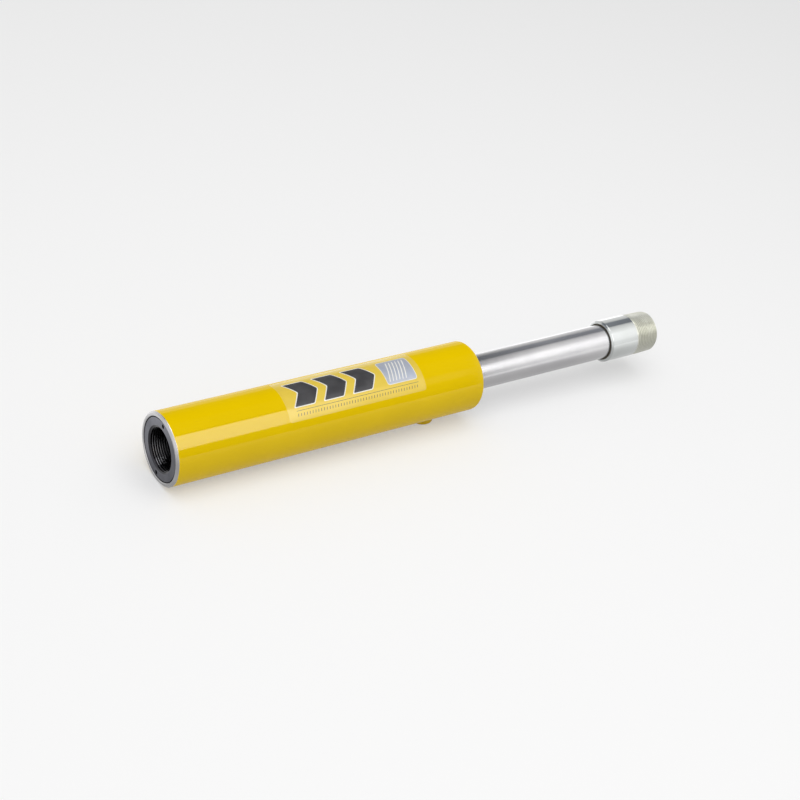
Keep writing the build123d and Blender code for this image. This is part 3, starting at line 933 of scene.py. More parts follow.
@dataclass
class Barrel:
    """The painted tube, with its oil port boss and weld bead.

    Attributes:
        length: Length of the tube.
        radius: Outside radius.
        bore_radius: Radius of the bore.
        front_corner: Radius of the rounded front corner.
        rear_chamfer: Chamfer of the bare rear edge.
        base_thread: Radius and depth of the rear counterbore.
        gland_thread: Radius of the front counterbore and where it starts.
        lead: Small lead chamfer inside both ends.
        paint_edge: Where the paint starts behind the bare chamfer.
        port_place: Where the port's centre line is along X.
        boss_radius: Outside radius of the boss.
        boss_face: Height of the boss face, below the axis.
        boss_chamfer: Chamfer of its rim.
        port_radius: Radius of the tapped hole in the wall.
        port_depth: Depth of the port thread from the boss face.
        oil_way_radius: Radius of the hole into the bore.
    """

    length: float = 329.0
    radius: float = 34.0
    bore_radius: float = 27.5
    front_corner: float = 4.0
    rear_chamfer: float = 1.5
    base_thread: Corner = (30.0, 36.0)
    gland_thread: Corner = (29.0, 298.0)
    lead: float = 0.5
    paint_edge: float = 1.85
    port_place: float = 283.8
    boss_radius: float = 12.0
    boss_face: float = -39.4
    boss_chamfer: float = 0.8
    port_radius: float = 9.3
    port_depth: float = 11.0
    oil_way_radius: float = 3.5

    def build(self) -> None:
        """Makes the tube, the boss and the bead."""
        self._tube()
        self._boss()
        self._bead()

    def _tube(self) -> None:
        """Turns the tube, drills the port and paints the outside."""
        base_radius, base_depth = self.base_thread
        gland_radius, gland_start = self.gland_thread
        corner = [
            (self.length - self.front_corner * (1 - math.sin(turn)), self.radius - self.front_corner * (1 - math.cos(turn)))
            for turn in (math.radians(7.5 * step) for step in range(13))
        ]
        outside = [
            (0.0, base_radius + self.lead), (0.0, self.radius - self.rear_chamfer - 0.12),
            (0.12, self.radius - self.rear_chamfer), (self.rear_chamfer - 0.1, self.radius - 0.1),
            (self.rear_chamfer + 0.1, self.radius), (self.paint_edge, self.radius),
            (self.length / 2, self.radius), *corner,
        ]
        inside = [
            (self.length, gland_radius + self.lead), (self.length - self.lead, gland_radius),
            (gland_start, gland_radius), (gland_start, self.bore_radius), (base_depth, self.bore_radius),
            (base_depth, base_radius), (self.lead, base_radius),
        ]
        tube = merged("barrel_tube_painted", [turned(outside + inside, 256)])
        drills = []
        for radius, depth in ((self.port_radius, self.port_depth), (self.oil_way_radius, 2 * self.port_depth)):
            drill = turned([(-5.0, 0), (-5.0, radius), (depth, radius), (depth, 0)], 64, closed=False)
            drill.transform(self._port_matrix())
            drills.append(drill)
        tube = drilled(tube, drills)
        self._paint(tube)
        put("barrel_tube_painted", smoothed(tube), "barrel", [BARE_STEEL, YELLOW_ENAMEL],
            ("barrel_tube",))

    def _paint(self, tube: bpy.types.Mesh) -> None:
        """Marks the painted faces, and lets the paint's rear edge wander a little.

        Args:
            tube: The tube's mesh.
        """
        for vertex in tube.vertices:
            if abs(vertex.co.x - self.paint_edge * MM) < 0.01 * MM:
                angle = math.atan2(vertex.co.z, vertex.co.y)
                wander = math.sin(5 * angle + 0.7) + 0.6 * math.sin(13 * angle) + 0.4 * math.sin(31 * angle + 2)
                vertex.co.x += 0.07 * MM * wander
        for face in tube.polygons:
            centre = face.center / MM
            reach = math.hypot(centre.y, centre.z)
            outer = reach > self.radius - 0.6 and centre.x > self.paint_edge - 0.05
            front = centre.x > self.length - self.front_corner - 0.1 and reach > self.gland_thread[0] + self.lead
            face.material_index = 1 if outer or front else 0

    def _port_matrix(self) -> Matrix:
        """Carries a shape that was turned about X from the boss face onto the port's centre line."""
        return Matrix.Translation(Vector((self.port_place, 0, self.boss_face)) * MM) @ Matrix.Rotation(
            -math.pi / 2, 4, "Y")

    def _boss(self) -> None:
        """Turns the boss, with its port thread inside, and stands it under the tube."""
        rise = 8.4
        outline = [
            (self.port_depth, 7.25), (self.port_depth, self.port_radius), (rise, self.port_radius),
            (rise, self.boss_radius), (self.boss_chamfer, self.boss_radius),
            (self.boss_chamfer * 0.72, self.boss_radius - self.boss_chamfer * 0.14),
            (0.12, self.boss_radius - self.boss_chamfer + 0.02), (0, self.boss_radius - self.boss_chamfer - 0.1),
            (0, 8.75),
        ]
        thread = ThreadTree().mesh(
            "port_thread", BARE_STEEL, Start=0, Length=self.port_depth, Pitch=1.411, Inner_Radius=7.6, Depth=1.05,
            Taper=1 / 32, Cap_Radius=99, First_Cone_Radius=8.75, First_Cone_Slope=1.0, Last_Cone_Radius=7.25,
            Last_Cone_Slope=0.6, Outside=0, Steps_Around=96, Steps_Per_Pitch=10,
        )
        boss = merged("oil_port_boss_threaded", [turned(outline, 96, closed=False), thread])
        for face in boss.polygons:
            reach = math.hypot(face.center.y, face.center.z) / MM
            painted = reach > 9.5 or face.center.x < 0.05 * MM
            face.material_index = 1 if painted else 0
        boss.transform(self._port_matrix())
        put("oil_port_boss_threaded", smoothed(boss), "barrel", [BARE_STEEL, YELLOW_ENAMEL],
            ("oil_port_boss",))

    def _bead(self) -> None:
        """Lays the weld bead round the boss."""
        bead = WeldBeadTree().mesh(
            "port_weld_bead_rippled", YELLOW_ENAMEL, Port_Place=self.port_place, Boss_Radius=self.boss_radius + 0.15,
            Tube_Radius=self.radius + 0.1, Bead_Radius=1.75, Ripples=44, Ripple_Depth=0.22, Steps_Around=528,
            Steps_Across=20, Seed=3,
        )
        put("port_weld_bead_rippled", smoothed(merged("bead", [bead]), 60.0), "barrel", [YELLOW_ENAMEL],
            ("port_weld_bead",))


@dataclass
class BaseEnd:
    """The base plug with the rear pull thread, its breather and the return spring's seat.

    Attributes:
        face: Where the plug's face is along X.
        mouth_radius: Radius of the thread's mouth.
        head: Radius of the plug's head and where it ends.
        thread: Radius of the outside thread and where it ends.
        spigot: Radius of the spigot and where it ends.
        wall: Radius of the drilled thread hole and where its bottom is.
        breather: Radius of the breather's seat and where its bottom is.
        vent_radius: Radius of the vent hole.
        pin_circle: Radius of the circle that the pin holes lie on.
        pin_turn: Angle of the first pin hole from +Y, in degrees.
        pin_hole: Radius and depth of the pin holes.
    """

    face: float = 0.5
    mouth_radius: float = 21.9
    head: Corner = (29.2, 3.5)
    thread: Corner = (29.95, 36.0)
    spigot: Corner = (27.45, 42.0)
    wall: Corner = (19.05, 30.0)
    breather: Corner = (7.0, 33.0)
    vent_radius: float = 2.5
    pin_circle: float = 26.25
    pin_turn: float = 95.7
    pin_hole: Corner = (2.0, 6.0)

    def build(self) -> None:
        """Makes the plug and dresses what sits in it and on it."""
        self._plug()
        dress(SINTERED_BRONZE, "breather_filter")
        dress(BARE_STEEL, "stop_sleeve", "spring_thrust_washer")

    def _plug(self) -> None:
        """Turns the plug, drills its pin holes and gives it the inside pull thread."""
        wall, bottom = self.wall
        outline = [
            (self.face, self.mouth_radius), (self.face, self.head[0] - 0.5), (self.face + 0.14, self.head[0] - 0.2),
            (self.face + 0.5, self.head[0]), (self.head[1], self.head[0]), (self.head[1], self.thread[0]),
            (self.thread[1], self.thread[0]), (self.thread[1], self.spigot[0]), (self.spigot[1], self.spigot[0]),
            (self.spigot[1], self.vent_radius), (self.breather[1], self.vent_radius),
            (self.breather[1], self.breather[0]), (bottom, self.breather[0]), (bottom, wall),
        ]
        plug = merged("base_plug_threaded", [turned(outline, 160)])
        drills = []
        for turn in (self.pin_turn, self.pin_turn + 180):
            drill = drill_shape(self.pin_hole[0], self.face, self.pin_hole[1])
            angle = math.radians(turn)
            shift = Vector((0, self.pin_circle * math.cos(angle), self.pin_circle * math.sin(angle)))
            drill.transform(Matrix.Translation(shift * MM))
            drills.append(drill)
        plug = drilled(plug, drills)
        form = bmesh.new()
        form.from_mesh(plug)
        bore = []
        for side in form.faces:
            reach = max(math.hypot(v.co.y, v.co.z) for v in side.verts) / MM
            places = [v.co.x / MM for v in side.verts]
            across = max(places) - min(places) > 0.01 and min(places) < bottom - 0.01
            if reach < self.mouth_radius + 0.05 and across:
                bore.append(side)
        bmesh.ops.delete(form, geom=bore, context="FACES")
        thread = ThreadTree().mesh(
            "rear_pull_thread", BLACKENED_STEEL, Start=self.face, Length=bottom - self.face, Pitch=2.209,
            Inner_Radius=19.98, Depth=1.62, Taper=1 / 32, Cap_Radius=99, First_Cone_Radius=self.mouth_radius,
            First_Cone_Slope=1.9, Last_Cone_Radius=wall, Last_Cone_Slope=0.5, Outside=0, Steps_Around=160,
            Steps_Per_Pitch=12,
        )
        plug = merged("plug", [form, thread])
        # Faces inside the bore take the darker thread finish, whose near-black grooves are painted shade.
        for side in plug.polygons:
            place = side.center / MM
            inside = math.hypot(place.y, place.z) < self.mouth_radius - 0.02
            side.material_index = 1 if inside and self.face + 0.02 < place.x < bottom + 0.1 else 0
        put("base_plug_threaded", smoothed(plug), "barrel", [BLACKENED_STEEL, POLISHED_CREST_SHADED_THREAD],
            ("base_plug",))


@dataclass
class ReturnSpring:
    """The flat-wire return spring between stop sleeve and thrust washer.

    Attributes:
        start: Where it rests on the sleeve's flange.
        length: Its length with the rod out.
        stroke: How far the rod shortens it; not used.
        mean_radius: Radius of the wire's centre line.
        wire: Side of the wire's square section.
        turns: Number of turns.
        end_pitch: Pitch of the closed end turns.
    """

    start: float = 45.0
    length: float = 199.8
    stroke: float = 150.0
    mean_radius: float = 23.0
    wire: float = 4.0
    turns: float = 9.5
    end_pitch: float = 4.8

    def build(self) -> None:
        """Winds the spring."""
        coil = SpringTree().mesh(
            "return_spring_coil", SPRING_STEEL, Start=self.start, Length=self.length, Mean_Radius=self.mean_radius,
            Wire_Size=self.wire - 0.1, Wire_Corner=0.3, End_Pitch=self.end_pitch, Turns=self.turns,
            Steps_Per_Turn=72, Steps_Across=16,
        )
        spring = put("return_spring_coil", smoothed(merged("coil", [coil]), 40.0), "barrel", [SPRING_STEEL],
                     ("return_spring",))
        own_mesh(spring)


@dataclass
class Gland:
    """The gland nut in the barrel's mouth, with its wiper, seals and guide rings.

    Attributes:
        nose: Where the nut's nose is along X.
        face: Where its face is.
        bore_radius: Radius of its bore.
        thread: Radius of its thread and where it starts.
        spigot: Radius of its spigot and where it starts.
        nose_radius: Radius of its nose.
        guide_grooves: Where the guide ring grooves start.
        guide_groove: Radius and length of each.
        seal_groove: Radius and length of the rod seal's groove.
        wiper_seat: Radius and depth of the wiper's seat.
        static_groove: Radius, start and end of the groove of the static rings.
        pin_circle: Radius of the circle that the pin holes lie on.
        pin_turn: Angle of the first pin hole from +Y, in degrees.
        rod_radius: Radius of the rod that runs through.
    """

    nose: float = 276.0
    face: float = 328.0
    bore_radius: float = 17.8
    thread: Corner = (28.95, 298.0)
    spigot: Corner = (27.45, 289.0)
    nose_radius: float = 24.5
    guide_grooves: Corner = (278.5, 310.5)
    guide_groove: Corner = (19.7, 8.2)
    seal_groove: Corner = (22.5, 9.2)
    wiper_seat: Corner = (22.0, 6.0)
    static_groove: Triple = (24.9, 291.05, 295.95)
    pin_circle: float = 25.5
    pin_turn: float = 20.0
    rod_radius: float = 17.5

    def build(self) -> None:
        """Makes the nut and the wiper, and dresses the rings."""
        self._nut()
        self._wiper()
        dress(SEAL_RUBBER, "gland_o_ring", "rod_seal_energiser")
        dress(HARD_RING_PLASTIC, "gland_backup_ring", "rod_backup_ring")
        dress(GUIDE_RING_PLASTIC, "inner_rod_guide_ring", "outer_rod_guide_ring")
        dress(SEAL_POLYURETHANE, "rod_seal")

    def _nut(self) -> None:
        """Turns the nut with its grooves and drills its pin holes."""
        bore, (guide, guide_length) = self.bore_radius, self.guide_groove
        inside = [(self.nose, bore)]
        grooves = [(self.guide_grooves[0], guide_length, guide), (self.thread[1], self.seal_groove[1], self.seal_groove[0]),
                   (self.guide_grooves[1], guide_length, guide)]
        for start, length, radius in grooves:
            inside += [(start, bore), (start, radius), (start + length, radius), (start + length, bore)]
        seat = self.face - self.wiper_seat[1]
        inside += [(seat, bore), (seat, self.wiper_seat[0]), (self.face, self.wiper_seat[0])]
        outer, groove_start, groove_end = self.static_groove
        outside = [
            (self.face, self.thread[0]), (self.thread[1], self.thread[0]), (self.thread[1], self.spigot[0]),
            (groove_end, self.spigot[0]), (groove_end, outer), (groove_start, outer),
            (groove_start, self.spigot[0]), (self.spigot[1], self.spigot[0]), (self.spigot[1], self.nose_radius),
            (self.nose, self.nose_radius),
        ]
        nut = merged("gland_nut_turned", [turned(eased(inside + outside, 0.3), 144)])
        drills = []
        for turn in (self.pin_turn, self.pin_turn + 180):
            drill = drill_shape(2.0, self.face, -6.0)
            angle = math.radians(turn)
            shift = Vector((0, self.pin_circle * math.cos(angle), self.pin_circle * math.sin(angle)))
            drill.transform(Matrix.Translation(shift * MM))
            drills.append(drill)
        put("gland_nut_turned", smoothed(drilled(nut, drills)), "barrel", [BLACKENED_STEEL],
            ("gland_nut",))

    def _wiper(self) -> None:
        """Turns the wiper, with its lip against the rod."""
        lip, seat = self.rod_radius + 0.05, self.face - self.wiper_seat[1]
        outline = [
            (seat, lip + 0.35), (self.face - 0.3, lip + 0.35), (self.face + 0.9, lip), (self.face + 1.5, lip),
            (self.face + 1.45, lip + 0.7), (self.face + 0.2, lip + 2.4), (self.face - 0.5, lip + 2.7),
            (self.face - 0.6, lip + 3.2), (self.face - 0.05, lip + 3.5), (self.face - 0.05, self.wiper_seat[0] - 0.05),
            (seat, self.wiper_seat[0] - 0.05),
        ]
        wiper = merged("rod_wiper_lipped", [turned(eased(outline, 0.25), 144)])
        put("rod_wiper_lipped", smoothed(wiper, 50.0), "barrel", [SEAL_POLYURETHANE],
            ("rod_wiper",))


@dataclass
class PullRod:
    """The chromed rod with its piston, and the zinc-plated coupling on its end.

    Attributes:
        spigot_end: Where the rod's rear end is along X.
        piston: Where the piston starts and ends.
        nut_thread: Radius of the rear thread.
        spigot: Radius of the spigot that carries the piston.
        radius: Radius of the rod.
        end_thread: Radius of its front thread.
        front: Where the rod's front end is.
        coupling: Where the coupling starts and ends.
        shoulder: Where its plain part ends.
        plain_radius: Radius of its plain part.
        recess: Radius and depth of the recess round the rod.
    """

    spigot_end: float = 236.8
    piston: Corner = (247.8, 275.8)
    nut_thread: float = 12.0
    spigot: float = 13.0
    radius: float = 17.5
    end_thread: float = 16.5
    front: float = 562.0
    coupling: Corner = (502.0, 565.0)
    shoulder: float = 537.0
    plain_radius: float = 21.3
    recess: Corner = (18.7, 2.5)

    def build(self) -> None:
        """Makes the rod and the coupling, and dresses the piston and what it holds."""
        self._rod()
        self._coupling()
        dress(BARE_STEEL, "piston", "piston_nut")
        dress(GUIDE_RING_PLASTIC, "piston_guide_ring")
        dress(SEAL_POLYURETHANE, "piston_seal")
        dress(HARD_RING_PLASTIC, "piston_backup_ring")
        dress(SEAL_RUBBER, "piston_seal_energiser", "piston_static_o_ring")

    def _rod(self) -> None:
        """Turns the rod and chromes its running length."""
        rear, front = self.piston
        recess = self.coupling[0] + self.recess[1]
        outline = [
            (self.spigot_end, 0), (self.spigot_end, self.nut_thread - 0.8), (self.spigot_end + 0.8, self.nut_thread),
            (rear, self.nut_thread), (rear, self.spigot), (front, self.spigot), (front, self.radius - 0.4),
            (front + 0.4, self.radius), ((front + recess) / 2, self.radius), (recess, self.radius),
            (recess, self.end_thread), (self.front - 1.5, self.end_thread), (self.front, self.end_thread - 1.5),
            (self.front, 3.5), (self.front - 0.5, 3.1), (self.front - 6, 0),
        ]
        rod = merged("piston_rod_chromed", [turned(outline, 192, closed=False)])
        for face in rod.polygons:
            reach = math.hypot(face.center.y, face.center.z) / MM
            face.material_index = 1 if reach > self.end_thread + 0.2 and face.center.x > front * MM else 0
        put("piston_rod_chromed", smoothed(rod), "rod", [BARE_STEEL, HARD_CHROME], ("piston_rod",))

    def _coupling(self) -> None:
        """Turns the coupling and cuts the outside pull thread."""
        rear, front = self.coupling
        recess_radius, recess_depth = self.recess
        bore, crest, end_radius = self.end_thread + 0.05, 21.05, 18.8
        outline = [
            (front, end_radius), (front - 0.02, end_radius - 0.4), (front, bore + 1.0), (front - 1.0, bore),
            (rear + recess_depth, bore), (rear + recess_depth, recess_radius), (rear + 0.25, recess_radius),
            (rear, recess_radius + 0.25), (rear, self.plain_radius - 1.5), (rear + 0.12, self.plain_radius - 1.32),
            (rear + 1.4, self.plain_radius - 0.08), (rear + 1.7, self.plain_radius),
            (self.shoulder - 0.35, self.plain_radius), (self.shoulder - 0.05, self.plain_radius - 0.2),
            (self.shoulder, crest),
        ]
        thread = ThreadTree().mesh(
            "outside_pull_thread", ZINC_PLATE, Start=self.shoulder, Length=front - self.shoulder, Pitch=2.209,
            Inner_Radius=19.72, Depth=1.68, Taper=1 / 32, Cap_Radius=crest, First_Cone_Radius=crest,
            First_Cone_Slope=0.45, Last_Cone_Radius=end_radius, Last_Cone_Slope=1.0, Outside=1, Steps_Around=160,
            Steps_Per_Pitch=12,
        )
        seam = [
            (rear + 0.9, self.radius - 0.05), (rear + 0.55, self.radius + 0.12), (rear + 0.75, self.radius + 0.5),
            (rear + 1.05, (self.radius + recess_radius) / 2), (rear + 0.75, recess_radius - 0.45),
            (rear + 0.6, recess_radius - 0.1), (rear + 0.9, recess_radius + 0.02), (rear + 1.9, recess_radius - 0.2),
            (rear + 1.9, self.radius + 0.2),
        ]
        ring = merged("coupling_sealant_ring", [turned(eased(seam, 0.15), 160)])
        for vertex in ring.vertices:
            angle = math.atan2(vertex.co.z, vertex.co.y)
            vertex.co.x += MM * (0.12 * math.sin(3 * angle + 1) + 0.08 * math.sin(11 * angle) * math.sin(4 * angle))
        put("coupling_sealant_ring", smoothed(ring, 60.0), "rod", [THREAD_SEALANT])
        body = turned(outline, 160, closed=False)
        coupling = merged("coupling", [body, thread])
        for face in coupling.polygons:
            reach = math.hypot(face.center.y, face.center.z) / MM
            cut = face.center.x > (self.shoulder + 0.1) * MM and reach > end_radius - 0.5
            face.material_index = 1 if cut else 0
        put("rod_coupling_threaded", smoothed(coupling), "rod", [ZINC_PLATE, ZINC_THREAD],
            ("rod_coupling",))


@dataclass
class PlainLabel:
    """A plain printed label on the barrel: chevrons, a hatched panel, a line and a row of ticks.

    Attributes:
        start: Where it starts along X.
        lower_angle: Angle of its lower edge about X from +Y, in degrees.
        size: Its length and its height along the curve.
        tube_radius: Radius of the barrel.
        layer: Height of each printed layer.
        film_corner: Corner radius of the film.
        keyline: Width of the white line round the chevrons.
        chevrons: Where each starts, from the label's left edge.
        chevron: Width, height, foot and point of a chevron.
        panel: Left, foot, length and height of the hatched panel.
        line: Left, foot, length and height of the thin line.
    """

    start: float = 113.0
    lower_angle: float = 149.0
    size: Corner = (148.0, 49.0)
    tube_radius: float = 34.0
    layer: float = 0.05
    film_corner: float = 3.0
    keyline: float = 0.9
    chevrons: Triple = (9.0, 40.0, 71.0)
    chevron: tuple[float, float, float, float] = (20.0, 27.0, 13.0, 9.0)
    panel: tuple[float, float, float, float] = (109.0, 13.0, 32.0, 27.0)
    line: tuple[float, float, float, float] = (9.0, 9.0, 132.0, 0.35)

    def build(self) -> None:
        """Lays the film, then prints the motifs on it."""
        length, height = self.size
        self._print("label_film", self._rounded([(0, 0), (length, 0), (length, height), (0, height)],
                                                self.film_corner), 1, LABEL_FILM)
        width, tall, foot, point = self.chevron
        for number, left in enumerate(self.chevrons, 1):
            shape = [
                (left, foot), (left + width, foot), (left + width + point, foot + tall / 2),
                (left + width, foot + tall), (left, foot + tall), (left + point, foot + tall / 2),
            ]
            outer = self._grown(shape, self.keyline)
            self._print(f"label_keyline_{number}", self._rounded(outer, 1.8), 2, LABEL_WHITE)
            self._print(f"label_chevron_{number}", self._rounded(shape, 1.2), 3, LABEL_CHARCOAL)
        left, foot, length, tall = self.panel
        box = [(left, foot), (left + length, foot), (left + length, foot + tall), (left, foot + tall)]
        self._print("label_panel_edge", self._rounded(self._grown(box, 0.6), 3.2), 2, LABEL_WHITE)
        self._print("label_panel", self._rounded(box, 2.6), 3, LABEL_SILVER)
        left, foot, length, tall = self.line
        self._print("label_line", [(left, foot), (left + length, foot), (left + length, foot + tall),
                                   (left, foot + tall)], 2, LABEL_CHARCOAL)
        self._row("label_hatch", LABEL_WHITE, 4, Start=self.panel[0] + 3.0, Foot=self.panel[1] + 2.5, Spacing=3.6,
                  Count=6, Width=1.1, Height=self.panel[3] - 5.0, Slant=0.3)
        self._row("label_ticks", LABEL_CHARCOAL, 2, Start=self.line[0] + 0.5, Foot=4.2, Spacing=3.0, Count=44,
                  Width=0.55, Height=2.6, Slant=0.25)

    def _row(self, name: str, finish: Finish, layer: int, **values: float) -> None:
        """Prints a row of marks.

        Args:
            name: Name of the piece.
            finish: Its finish.
            layer: Which printed layer it is.
            **values: The row's sizes, its start counted from the label's left edge.
        """
        values["Start"] += self.start
        row = MarkRowTree().mesh(
            name, finish, Tube_Radius=self.tube_radius + layer * self.layer,
            Lower_Angle=math.radians(self.lower_angle), **values)
        self._stuck(name, row, finish)

    def _stuck(self, name: str, sheet: bpy.types.Mesh, finish: Finish) -> None:
        """Gives a sheet on the tube its thickness, inwards, and makes it a piece.

        Args:
            name: Name of the piece.
            sheet: Its outer skin.
            finish: Its finish.
        """
        if self._inwards(sheet):
            sheet.flip_normals()
        holder = bpy.data.objects.new(name, sheet)
        bpy.context.scene.collection.objects.link(holder)
        body = holder.modifiers.new("thickness", "SOLIDIFY")
        body.thickness, body.offset = self.layer * 0.8 * MM, -1.0
        put(name, smoothed(flattened(holder)), "barrel", [finish])

    def _inwards(self, mesh: bpy.types.Mesh) -> bool:
        """Says whether a mesh on the tube faces the axis."""
        face = mesh.polygons[0]
        return face.normal.y * face.center.y + face.normal.z * face.center.z < 0

    def _rounded(self, shape: list[Corner], radius: float) -> list[Corner]:
        """Rounds a flat shape's corners with arcs of eight steps.

        Args:
            shape: Its corners.
            radius: Rounding reach.

        Returns:
            The rounded shape.
        """
        rounded = []
        for index, corner in enumerate(shape):
            here = Vector(corner)
            back = Vector(shape[index - 1]) - here
            ahead = Vector(shape[(index + 1) % len(shape)]) - here
            first, last = here + back.normalized() * radius, here + ahead.normalized() * radius
            for step in range(9):
                bow = first.lerp(here, step / 8).lerp(here.lerp(last, step / 8), step / 8)
                rounded.append((bow.x, bow.y))
        return rounded

    def _grown(self, shape: list[Corner], margin: float) -> list[Corner]:
        """Moves each side of a flat shape outwards.

        Args:
            shape: Its corners, counterclockwise.
            margin: How far.

        Returns:
            The larger shape.
        """
        grown = []
        for index, corner in enumerate(shape):
            before, after = Vector(shape[index - 1]), Vector(shape[(index + 1) % len(shape)])
            here = Vector(corner)
            one, two = (here - before).normalized(), (after - here).normalized()
            out_one, out_two = Vector((one.y, -one.x)), Vector((two.y, -two.x))
            middle = (out_one + out_two).normalized()
            moved = here + middle * (margin / max(0.2, middle.dot(out_one)))
            grown.append((moved.x, moved.y))
        return grown

    def _print(self, name: str, shape: list[Corner], layer: int, finish: Finish) -> None:
        """Makes a flat shape a thin printed piece on the barrel.

        Args:
            name: Name of the piece.
            shape: Its corners, from the label's lower left corner.
            layer: Which printed layer it is.
            finish: Its finish.
        """
        form = bmesh.new()
        form.faces.new([form.verts.new((a, b, 0)) for a, b in shape])
        low, high = min(b for _, b in shape), max(b for _, b in shape)
        cuts = int((high - low) / 0.9)
        for cut in range(1, cuts + 1):
            at = low + (high - low) * cut / (cuts + 1)
            geometry = [*form.verts, *form.edges, *form.faces]
            bmesh.ops.bisect_plane(form, geom=geometry, plane_co=(0, at, 0), plane_no=(0, 1, 0))
        bmesh.ops.triangulate(form, faces=[face for face in form.faces if len(face.verts) > 4])
        top = self.tube_radius + layer * self.layer
        for vertex in form.verts:
            angle = math.radians(self.lower_angle) - vertex.co.y / self.tube_radius
            place = (self.start + vertex.co.x, top * math.cos(angle), top * math.sin(angle))
            vertex.co = Vector(place) * MM
        for face in form.faces:
            centre = face.calc_center_median()
            if face.normal.y * centre.y + face.normal.z * centre.z < 0:
                face.normal_flip()
        form.normal_update()
        mesh = bpy.data.meshes.new(name)
        form.to_mesh(mesh)
        form.free()
        self._stuck(name, mesh, finish)


# The studio


